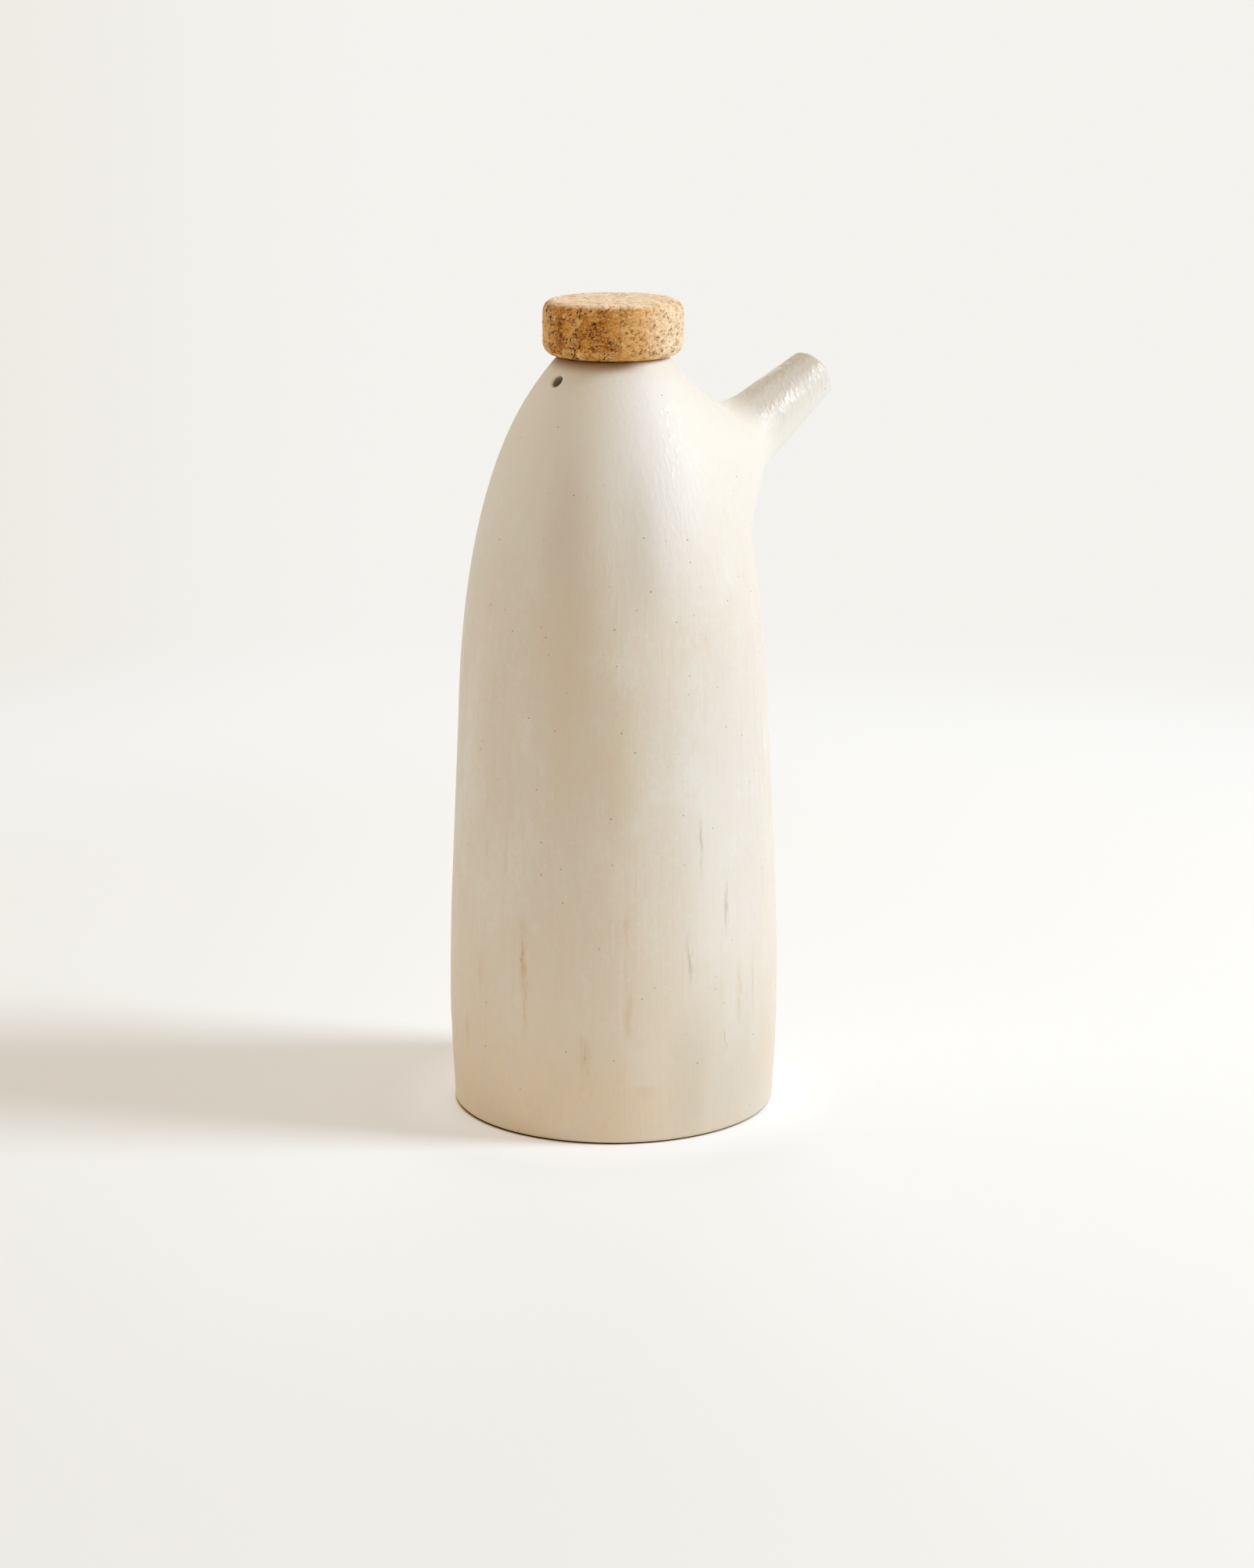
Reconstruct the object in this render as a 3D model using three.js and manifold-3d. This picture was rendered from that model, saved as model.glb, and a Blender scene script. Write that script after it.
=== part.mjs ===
import * as THREE from 'three';
import { mergeVertices, toCreasedNormals } from 'three/addons/utils/BufferGeometryUtils.js';
import Module from 'manifold-3d';

// A thrown stoneware oil bottle: a tall domed body whose shoulder is pushed out on one side into a
// tapered pouring spout, with a breathing hole on the other side and a turned cork stopper in the mouth.
// Millimetres, +Z up. The origin is the middle of the flat foot, and the spout points along +X.

// Thrown body, from the foot up to the rim
const FOOT_RADIUS = 39.6;
const FOOT_EDGE = 0.8; // rounding between the wall and the foot
const BELLY_SWELL = 1.05; // how far the wall stands out past the foot
const BELLY_HEIGHT = 28;
const FOOT_FLARE = 0.75; // share of the swell that the first stretch of wall leans out by
const SHOULDER_DRAW_IN = 2.8; // how far the wall has come in again where the dome begins
const SHOULDER_HEIGHT = 100;
const BODY_HEIGHT = 185.6;
const WALL_LEAN = 0.0373; // inward lean of the wall at the shoulder, per millimetre of height
const WALL_EASE = 0.287; // share of the wall's height over which each end of it eases
const DOME_SLOPE = 0.84; // fall-away of the dome at the rim, radius per millimetre of height
const DOME_FULLNESS = 0.65; // share of the dome's height that keeps the shoulder's lean
const DOME_LANDING = 0.13; // share of the dome's height that keeps the rim's slope
const WALL = 4;
const FLOOR = 5;
const FLOOR_FILLET = 7;

// Mouth
const THROAT_RADIUS = 10.2;
const THROAT_LENGTH = 7;
const RIM_WIDTH = 3.2;
const RIM_EDGE = 1; // rounding of the throat's upper edge
const VAULT_HEIGHT = 7; // curved roof of the chamber, below the throat

// Swelling of the shoulder where it is pushed out towards the spout
const SWELL = 13;
const SWELL_HALF_ANGLE = THREE.MathUtils.degToRad(69);
const SWELL_BELOW_RIM = 23.1;
const SWELL_RISE = 19;
const SWELL_DROP = 25;

// Spout: an egg-shaped root on the swelling, drawn in to a tapered tube
const SPOUT_BELOW_RIM = 23.22;
const SPOUT_ELEVATION = THREE.MathUtils.degToRad(31.4);
const SPOUT_LENGTH = 27.6;
const SPOUT_TIP_RADIUS = 6.35;
const SPOUT_TAPER = Math.tan(THREE.MathUtils.degToRad(6));
const SPOUT_LIP = 1.5; // rounding of the tip's outer edge
const SPOUT_WALL = 2.4;
const SPOUT_MOUTH_EDGE = 0.6; // rounding of the bore's outer end
const ROOT_SPREAD = 15; // half width of the root round the body
const ROOT_RISE = 10.2;
const ROOT_DROP = 17;
const ROOT_HEIGHT = 8; // distance along the spout over which the root draws in to the tube
const ROOT_PULL = 0.9; // length of the root's end tangents, as a share of each curve's span
const ROOT_SINK = 0.4; // the root starts just below the body's skin, so that the two fuse
const ROOT_TILT = 0.22; // slope at which it comes up through the skin
const FUNNEL_DEPTH = 10;
const FUNNEL_FLARE = 3.5; // widening of the bore where it opens into the chamber

// Breathing hole, square to the skin, on the side away from the spout
const VENT_RADIUS = 1.5;
const VENT_BELOW_RIM = 4.7;
const VENT_ANGLE = THREE.MathUtils.degToRad(181);

// Cork stopper: a round head and a tapered plug, turned in one piece
const HEAD_OVERHANG = 3.5; // how far the head stands out past the rim
const HEAD_HEIGHT = 13.3;
const HEAD_TOP_EDGE = 2.5;
const HEAD_FOOT_EDGE = 3.2;
const PLUG_LENGTH = 18;
const PLUG_TAPER = 1; // loss of radius from the head to the plug's end
const PLUG_EDGE = 0.8;
const FIT_CLEARANCE = 0.3; // between the plug and the throat
const SEAT_GAP = 0.3; // between the head and the rim

// Fineness of the surfaces
const BODY_SIDES = 48;
const SPOUT_SIDES = 32;
const VENT_SIDES = 16;
const FOOT_STEPS = 4;
const WALL_STEPS = 6;
const DOME_STEPS = 18;
const STOPPER_SIDES = 40;
const ROOT_STEPS = 9;
const EDGE_STEPS = 4;
const CHAMBER_CROWDING = 1.6; // gathers the chamber's rings towards its roof, where it curves most

const wasm = await Module();
wasm.setup();

/** Turns a closed three.js geometry into a solid, leaving out the slivers that collapse on an axis. */
function toSolid(geometry) {
  const bare = geometry.clone();
  bare.deleteAttribute('normal');
  bare.deleteAttribute('uv');
  const merged = mergeVertices(bare, 1e-5);
  const corners = merged.index.array;
  const kept = [];
  for (let at = 0; at < corners.length; at += 3) {
    const [a, b, c] = [corners[at], corners[at + 1], corners[at + 2]];
    if (a !== b && b !== c && c !== a) {
      kept.push(a, b, c);
    }
  }
  const vertProperties = new Float32Array(merged.attributes.position.array);
  const triVerts = new Uint32Array(kept);
  return new wasm.Manifold(new wasm.Mesh({ numProp: 3, vertProperties, triVerts }));
}

/** Names a solid and gives it a finish. */
function toMesh(name, solid, colour, roughness) {
  const { vertProperties, triVerts } = solid.getMesh();
  const geometry = new THREE.BufferGeometry();
  geometry.setAttribute('position', new THREE.BufferAttribute(new Float32Array(vertProperties), 3));
  geometry.setIndex(new THREE.BufferAttribute(new Uint32Array(triVerts), 1));
  const material = new THREE.MeshStandardMaterial({ color: colour, roughness, metalness: 0 });
  const mesh = new THREE.Mesh(toCreasedNormals(geometry, Math.PI / 6), material);
  mesh.name = name;
  return mesh;
}

/** Revolves a profile of (radius, height) points about the upright axis. */
function revolve(profile, sides) {
  return new THREE.LatheGeometry(profile, sides).rotateX(Math.PI / 2);
}

/** Points of a quarter round about a centre, from one angle to another. */
function roundEdge(centreRadius, centreHeight, radius, from, to) {
  const curve = new THREE.EllipseCurve(centreRadius, centreHeight, radius, radius, from, to, to < from);
  return curve.getPoints(EDGE_STEPS);
}

const point = (radius, height) => new THREE.Vector2(radius, height);

// The wall's outline is three curves that share their tangents: foot to belly, belly to shoulder, dome.
const foot = point(FOOT_RADIUS, 0);
const belly = point(FOOT_RADIUS + BELLY_SWELL, BELLY_HEIGHT);
const shoulder = point(belly.x - SHOULDER_DRAW_IN, SHOULDER_HEIGHT);
const rim = point(THROAT_RADIUS + RIM_WIDTH, BODY_HEIGHT);
const wallEase = (shoulder.y - belly.y) * WALL_EASE;
const domeFullness = (rim.y - shoulder.y) * DOME_FULLNESS;
const domeLanding = (rim.y - shoulder.y) * DOME_LANDING;
const WALL_CURVES = [
  new THREE.CubicBezierCurve(
    foot,
    point(foot.x + FOOT_FLARE * BELLY_SWELL, belly.y / 3),
    point(belly.x, belly.y * 2 / 3),
    belly,
  ),
  new THREE.CubicBezierCurve(
    belly,
    point(belly.x, belly.y + wallEase),
    point(shoulder.x + WALL_LEAN * wallEase, shoulder.y - wallEase),
    shoulder,
  ),
  new THREE.CubicBezierCurve(
    shoulder,
    point(shoulder.x - WALL_LEAN * domeFullness, shoulder.y + domeFullness),
    point(rim.x + DOME_SLOPE * domeLanding, rim.y - domeLanding),
    rim,
  ),
];

/** Radius of the thrown wall at a height, before the shoulder is pushed out. */
function wallRadius(height) {
  const curve = WALL_CURVES.find((each) => height <= each.v3.y) ?? WALL_CURVES.at(-1);
  let low = 0;
  let high = 1;
  while (high - low > Number.EPSILON) {
    const middle = (low + high) / 2;
    if (curve.getPoint(middle).y < height) {
      low = middle;
    } else {
      high = middle;
    }
  }
  return curve.getPoint(low).x;
}

/** How far the shoulder is pushed out at an angle from the spout and a height. */
function swelling(angle, height) {
  const above = height - (BODY_HEIGHT - SWELL_BELOW_RIM);
  const along = Math.min(Math.abs(above) / (above > 0 ? SWELL_RISE : SWELL_DROP), 1);
  const across = Math.min(Math.abs(angle) / SWELL_HALF_ANGLE, 1);
  return SWELL * Math.cos(along * Math.PI / 2) ** 2 * Math.cos(across * Math.PI / 2) ** 2;
}

/** Pushes a revolved skin out along the swelling. */
function swellOut(geometry) {
  const position = geometry.attributes.position;
  const place = new THREE.Vector3();
  for (let at = 0; at < position.count; at += 1) {
    place.fromBufferAttribute(position, at);
    const radius = Math.hypot(place.x, place.y);
    if (radius > WALL) {
      const scale = 1 + swelling(Math.atan2(place.y, place.x), place.z) / radius;
      position.setXY(at, place.x * scale, place.y * scale);
    }
  }
  return geometry;
}

/** Point of the finished skin at an angle from the spout and a height. */
function skinPoint(angle, height) {
  const radius = wallRadius(height) + swelling(angle, height);
  return new THREE.Vector3(radius * Math.cos(angle), radius * Math.sin(angle), height);
}

/** Outward normal of the finished skin, from the slopes over a small step both ways. */
function skinNormal(angle, height) {
  const step = Math.cbrt(Number.EPSILON);
  const round = skinPoint(angle + step, height).sub(skinPoint(angle - step, height));
  const up = skinPoint(angle, height + step).sub(skinPoint(angle, height - step));
  return round.cross(up).normalize();
}

/** Joins rings of points into a closed skin, with a fan to a middle point at each end. */
function skinOver(rings, firstMiddle, lastMiddle) {
  const sides = rings[0].length;
  const places = [...rings.flat(), firstMiddle, lastMiddle];
  const first = rings.length * sides;
  const corners = [];
  for (let side = 0; side < sides; side += 1) {
    const next = (side + 1) % sides;
    corners.push(first, next, side);
    for (let ring = 0; ring + 1 < rings.length; ring += 1) {
      const here = ring * sides;
      corners.push(here + side, here + next, here + sides + next);
      corners.push(here + side, here + sides + next, here + sides + side);
    }
    corners.push(first + 1, first - sides + side, first - sides + next);
  }
  const geometry = new THREE.BufferGeometry().setFromPoints(places);
  geometry.setIndex(corners);
  return geometry;
}

// The spout's own axes: out along the tube, sideways, and square to both.
const rootHeight = BODY_HEIGHT - SPOUT_BELOW_RIM;
const spoutRoot = skinPoint(0, rootHeight);
const spoutAxis = new THREE.Vector3(Math.cos(SPOUT_ELEVATION), 0, Math.sin(SPOUT_ELEVATION));
const spoutSide = new THREE.Vector3(0, 1, 0);
const spoutUp = spoutAxis.clone().cross(spoutSide);

/** Direction square to the spout's axis at an angle round it. */
function spoutRadial(turn) {
  return spoutSide.clone().multiplyScalar(Math.cos(turn)).addScaledVector(spoutUp, Math.sin(turn));
}

/** Outer radius of the tapered tube at a distance along it from the root. */
function tubeRadius(along) {
  return SPOUT_TIP_RADIUS + (SPOUT_LENGTH - along) * SPOUT_TAPER;
}

/** Point round the spout at a distance along it and a radius. */
function spoutPoint(along, radius, turn) {
  return spoutRoot.clone().addScaledVector(spoutAxis, along).addScaledVector(spoutRadial(turn), radius);
}

/** Curve that leaves the body's skin along its tangent and arrives along the tube's side. */
function rootCurve(turn) {
  const reach = Math.sin(turn) > 0 ? ROOT_RISE : ROOT_DROP;
  const height = rootHeight + reach * Math.sin(turn);
  const angle = ROOT_SPREAD * Math.cos(turn) / spoutRoot.x;
  const normal = skinNormal(angle, height);
  const start = skinPoint(angle, height).addScaledVector(normal, -ROOT_SINK);
  const end = spoutPoint(ROOT_HEIGHT, tubeRadius(ROOT_HEIGHT), turn);
  const inward = spoutRadial(turn).negate().projectOnPlane(normal).normalize();
  inward.addScaledVector(normal, ROOT_TILT).normalize();
  const outward = spoutAxis.clone().addScaledVector(spoutRadial(turn), -SPOUT_TAPER).normalize();
  const pull = start.distanceTo(end) * ROOT_PULL / 3;
  const leaving = start.clone().addScaledVector(inward, pull);
  const arriving = end.clone().addScaledVector(outward, -pull);
  return new THREE.CubicBezierCurve3(start, leaving, arriving, end);
}

/** The spout, solid, from its egg-shaped root to the rounded tip. */
function spoutSolid() {
  const turns = Array.from({ length: SPOUT_SIDES }, (_, side) => side * 2 * Math.PI / SPOUT_SIDES);
  const curves = turns.map(rootCurve);
  const rings = [];
  for (let step = 0; step <= ROOT_STEPS; step += 1) {
    rings.push(curves.map((curve) => curve.getPoint(step / ROOT_STEPS)));
  }
  const lipStart = SPOUT_LENGTH - SPOUT_LIP;
  const lip = roundEdge(tubeRadius(lipStart) - SPOUT_LIP, lipStart, SPOUT_LIP, 0, Math.PI / 2);
  for (const { x: radius, y: along } of lip) {
    rings.push(turns.map((turn) => spoutPoint(along, radius, turn)));
  }
  const inside = spoutPoint(-WALL, 0, 0);
  return toSolid(skinOver(rings, inside, spoutPoint(SPOUT_LENGTH, 0, 0)));
}

/** The spout's bore: a rounded mouth, a tapered run and a funnel that opens into the chamber. */
function boreSolid() {
  const boreRadius = (along) => tubeRadius(along) - SPOUT_WALL;
  const funnel = new THREE.QuadraticBezierCurve(
    point(boreRadius(0) + FUNNEL_FLARE, -FUNNEL_DEPTH),
    point(boreRadius(0), 0),
    point(boreRadius(FUNNEL_DEPTH), FUNNEL_DEPTH),
  );
  const runEnd = SPOUT_LENGTH - SPOUT_MOUTH_EDGE;
  const wide = boreRadius(runEnd) + SPOUT_MOUTH_EDGE;
  const mouth = roundEdge(wide, runEnd, SPOUT_MOUTH_EDGE, Math.PI, Math.PI / 2);
  const clear = SPOUT_LENGTH + SPOUT_LIP;
  const profile = [
    point(0, -FUNNEL_DEPTH),
    ...funnel.getPoints(2 * EDGE_STEPS),
    ...mouth,
    point(wide, clear),
    point(0, clear),
  ];
  const place = new THREE.Matrix4().makeBasis(spoutSide, spoutAxis, spoutUp.clone().negate());
  place.setPosition(spoutRoot);
  return toSolid(new THREE.LatheGeometry(profile, SPOUT_SIDES).applyMatrix4(place));
}

/** The thrown body before it is hollowed. */
function bodySolid() {
  const profile = [
    point(0, 0),
    ...roundEdge(wallRadius(FOOT_EDGE) - FOOT_EDGE, FOOT_EDGE, FOOT_EDGE, -Math.PI / 2, 0),
    ...WALL_CURVES[0].getPoints(FOOT_STEPS).slice(1),
    ...WALL_CURVES[1].getPoints(WALL_STEPS).slice(1),
    ...WALL_CURVES[2].getPoints(DOME_STEPS).slice(1),
    point(0, BODY_HEIGHT),
  ];
  return toSolid(swellOut(revolve(profile, BODY_SIDES)));
}

/** The chamber: the wall's outline set in by its thickness, with a rounded floor and a vaulted roof. */
function chamberSolid() {
  const innerRadius = (height) => wallRadius(height) - WALL;
  const inner = (height) => point(innerRadius(height), height);
  const floorEdge = FLOOR + FLOOR_FILLET;
  const roof = BODY_HEIGHT - THROAT_LENGTH;
  const vault = roof - VAULT_HEIGHT;
  const wall = [];
  for (let step = 1; step < DOME_STEPS; step += 1) {
    const share = (1 - step / DOME_STEPS) ** CHAMBER_CROWDING;
    wall.push(inner(THREE.MathUtils.lerp(vault, floorEdge, share)));
  }
  const vaultCurve = new THREE.QuadraticBezierCurve(
    inner(vault),
    inner((vault + roof) / 2),
    point(THROAT_RADIUS, roof),
  );
  const profile = [
    point(0, FLOOR),
    ...roundEdge(innerRadius(floorEdge) - FLOOR_FILLET, floorEdge, FLOOR_FILLET, -Math.PI / 2, 0),
    ...wall,
    ...vaultCurve.getPoints(EDGE_STEPS),
    point(0, roof),
  ];
  return toSolid(swellOut(revolve(profile, BODY_SIDES)));
}

/** The throat, from inside the chamber's roof up through the rounded rim. */
function throatSolid() {
  const edge = roundEdge(THROAT_RADIUS + RIM_EDGE, BODY_HEIGHT - RIM_EDGE, RIM_EDGE, Math.PI, Math.PI / 2);
  const start = BODY_HEIGHT - THROAT_LENGTH - VAULT_HEIGHT / 2;
  const clear = BODY_HEIGHT + RIM_EDGE;
  const profile = [
    point(0, start),
    point(THROAT_RADIUS, start),
    ...edge,
    point(THROAT_RADIUS + RIM_EDGE, clear),
    point(0, clear),
  ];
  return toSolid(revolve(profile, BODY_SIDES));
}

/** The breathing hole, drilled square to the skin. */
function ventSolid() {
  const height = BODY_HEIGHT - VENT_BELOW_RIM;
  const normal = skinNormal(VENT_ANGLE, height);
  const drill = new THREE.CylinderGeometry(VENT_RADIUS, VENT_RADIUS, 4 * WALL, VENT_SIDES);
  drill.applyQuaternion(new THREE.Quaternion().setFromUnitVectors(new THREE.Vector3(0, 1, 0), normal));
  const middle = skinPoint(VENT_ANGLE, height).addScaledVector(normal, -WALL);
  return toSolid(drill.translate(middle.x, middle.y, middle.z));
}

/** The cork stopper, seated on the rim. */
function stopperSolid() {
  const seat = BODY_HEIGHT + SEAT_GAP;
  const top = seat + HEAD_HEIGHT;
  const headRadius = rim.x + HEAD_OVERHANG;
  const plugRadius = THROAT_RADIUS - FIT_CLEARANCE;
  const plugEnd = seat - PLUG_LENGTH;
  const endRadius = plugRadius - PLUG_TAPER;
  const profile = [
    point(0, plugEnd),
    ...roundEdge(endRadius - PLUG_EDGE, plugEnd + PLUG_EDGE, PLUG_EDGE, -Math.PI / 2, 0),
    point(plugRadius, seat),
    ...roundEdge(headRadius - HEAD_FOOT_EDGE, seat + HEAD_FOOT_EDGE, HEAD_FOOT_EDGE, -Math.PI / 2, 0),
    ...roundEdge(headRadius - HEAD_TOP_EDGE, top - HEAD_TOP_EDGE, HEAD_TOP_EDGE, 0, Math.PI / 2),
    point(0, top),
  ];
  return toSolid(revolve(profile, STOPPER_SIDES));
}

const bottleSolid = bodySolid()
  .add(spoutSolid())
  .subtract(chamberSolid())
  .subtract(throatSolid())
  .subtract(boreSolid())
  .subtract(ventSolid());

const oilBottle = new THREE.Group();
oilBottle.add(
  toMesh('bottle', bottleSolid, 0xe9e2d4, 0.42),
  toMesh('cork_stopper', stopperSolid(), 0xc59a68, 0.9),
);

export default oilBottle;
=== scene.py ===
"""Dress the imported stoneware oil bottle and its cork, light them and place the camera.

Sizes are in millimetres until they go into a mesh, which is in metres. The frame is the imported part's own:
the origin is the middle of the flat foot, +Z is up and the spout points along +X.
"""
import logging
import math
from dataclasses import dataclass, field
from enum import Enum

import bpy
import numpy as np
from numpy.typing import ArrayLike, NDArray
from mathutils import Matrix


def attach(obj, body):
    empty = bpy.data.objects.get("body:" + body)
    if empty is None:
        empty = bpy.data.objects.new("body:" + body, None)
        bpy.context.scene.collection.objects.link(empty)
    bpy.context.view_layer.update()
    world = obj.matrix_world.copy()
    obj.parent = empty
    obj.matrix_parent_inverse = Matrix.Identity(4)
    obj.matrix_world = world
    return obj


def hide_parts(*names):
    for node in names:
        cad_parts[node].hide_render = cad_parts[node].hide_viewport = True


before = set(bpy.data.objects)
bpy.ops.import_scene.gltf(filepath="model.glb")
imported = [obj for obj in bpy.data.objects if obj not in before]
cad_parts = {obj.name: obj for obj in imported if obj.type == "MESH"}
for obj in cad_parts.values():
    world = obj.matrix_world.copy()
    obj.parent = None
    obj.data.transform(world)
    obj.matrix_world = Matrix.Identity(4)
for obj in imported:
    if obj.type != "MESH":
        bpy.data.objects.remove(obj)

Array = NDArray[np.float64]
Sizes = NDArray[np.int64]
Socket = bpy.types.NodeSocket
Colour = tuple[float, float, float, float]
Triple = tuple[float, float, float]
Pair = tuple[float, float]
Line = tuple[Array, Array]

MM = 0.001
CURVE_STEPS = 400
HASH_PRIMES = np.array([73856093, 19349663, 83492791])
HASH_SEED = 40503
HASH_MIX = 1274126177
HASH_MASK = 0xFFFFFF
log = logging.getLogger("oil_bottle")


class Slot(Enum):
    """Material slots of the record for the two pieces; nothing in this script reads them."""

    BOTTLE = "bottle"
    STOPPER = "cork_stopper"


class Body(Enum):
    """Rigid bodies that the new pieces ride on."""

    BOTTLE = "bottle"
    STOPPER = "stopper"


def smooth(low: float, high: float, value: ArrayLike) -> Array:
    """Ease from 0 at low to 1 at high along the curve 3t^2 - 2t^3."""
    t = np.clip((np.asarray(value, float) - low) / (high - low), 0.0, 1.0)
    return t * t * (3.0 - 2.0 * t)


def bezier(controls: ArrayLike, t: ArrayLike) -> Array:
    """Follow a Bezier curve.

    The curve is the sum of the control points weighted by the binomial terms of t and 1 - t.

    Args:
        controls: Control points along the first axis.
        t: Curve parameters from 0 to 1.

    Returns:
        One point for each parameter, with the parameters along the first axis.
    """
    points = np.asarray(controls, float)
    order = len(points) - 1
    steps = np.asarray(t, float)
    weights = [math.comb(order, k) * steps**k * (1.0 - steps) ** (order - k) for k in range(order + 1)]
    return np.tensordot(np.stack(weights, axis=-1), points, axes=1)


def quarter(centre: Pair, radius: float, start: float, stop: float, steps: int) -> Array:
    """Points of a round edge.

    Args:
        centre: Radius and height of the round's centre.
        radius: Radius of the round.
        start: First angle in degrees.
        stop: Last angle in degrees.
        steps: Number of points.

    Returns:
        Rows of radius and height.
    """
    turn = np.radians(np.linspace(start, stop, steps))
    return np.stack([centre[0] + radius * np.cos(turn), centre[1] + radius * np.sin(turn)], axis=1)


def lattice_noise(place: Array, cell: float, seed: int) -> Array:
    """Smooth noise from 0 to 1.

    Each corner of a lattice has a random value, and the eight round a point are blended along an S-curve.

    Args:
        place: Points along the last axis.
        cell: Size of a lattice cell.
        seed: Number of the pattern.

    Returns:
        One value for each point.
    """
    scaled = place / cell
    base = np.floor(scaled).astype(np.int64)
    ease = smooth(0.0, 1.0, scaled - base)
    total = np.zeros(place.shape[:-1])
    for corner in np.ndindex(2, 2, 2):
        index = base + np.array(corner)
        code = index @ HASH_PRIMES + seed * HASH_SEED
        code = (code ^ (code >> 13)) * HASH_MIX
        value = ((code ^ (code >> 16)) & HASH_MASK) / HASH_MASK
        total += value * np.where(np.array(corner) == 1, ease, 1.0 - ease).prod(axis=-1)
    return total


def unit(vectors: Array) -> Array:
    """Scale vectors along the last axis to length 1."""
    return vectors / np.linalg.norm(vectors, axis=-1, keepdims=True)


def ring_quads(rings: Sizes) -> Sizes:
    """Join rings of vertex numbers into quads, each ring closed on itself."""
    ahead = np.roll(rings, -1, axis=1)
    return np.stack([rings[:-1], ahead[:-1], ahead[1:], rings[1:]], axis=-1)


def caps(numbers: Sizes, pole: int) -> Sizes:
    """Close a revolved skin by fans from its first ring to a pole and from its last to the next vertex.

    Args:
        numbers: Vertex numbers of the skin, one row for each ring.
        pole: Number of the first pole.

    Returns:
        Vertex numbers of the triangles.
    """
    ahead = np.roll(numbers, -1, axis=1)
    first = np.full(numbers.shape[1], pole)
    under = np.stack([first, ahead[0], numbers[0]], axis=1)
    return np.concatenate([under, np.stack([numbers[-1], ahead[-1], first + 1], axis=1)])


def about_axis(radius: Array, angle: Array, height: Array) -> Array:
    """Points at a radius, an angle from the spout and a height."""
    return np.stack(np.broadcast_arrays(radius * np.cos(angle), radius * np.sin(angle), height), axis=-1)


def level(radii: Array, height: float) -> Array:
    """Rows of radius and height, all at one height."""
    return np.stack([radii, np.full_like(radii, height)], axis=1)


def between(first: Array, last: Array, steps: int) -> Array:
    """Rings evenly spaced between two rings, without these two."""
    return first + (last - first) * np.linspace(0.0, 1.0, steps + 2)[1:-1, None, None]


def make_piece(name: str, points: Array, quads: Sizes, triangles: Sizes) -> bpy.types.Object:
    """Put a closed surface into a new object at the origin.

    Args:
        name: Name of the object and its mesh.
        points: Vertices in millimetres.
        quads: Vertex numbers of the four-sided faces.
        triangles: Vertex numbers of the three-sided faces.

    Returns:
        The object, linked to the scene and shaded smooth.
    """
    mesh = bpy.data.meshes.new(name)
    mesh.from_pydata((points * MM).tolist(), [], quads.tolist() + triangles.tolist())
    mesh.polygons.foreach_set("use_smooth", np.ones(len(mesh.polygons), bool))
    mesh.validate()
    mesh.update()
    piece = bpy.data.objects.new(name, mesh)
    bpy.context.scene.collection.objects.link(piece)
    return piece


def set_attribute(piece: bpy.types.Object, name: str, values: Array) -> None:
    """Store one number for each vertex under a name that materials can read."""
    layer = piece.data.attributes.new(name, "FLOAT", "POINT")
    layer.data.foreach_set("value", np.asarray(values, np.float32))


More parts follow.
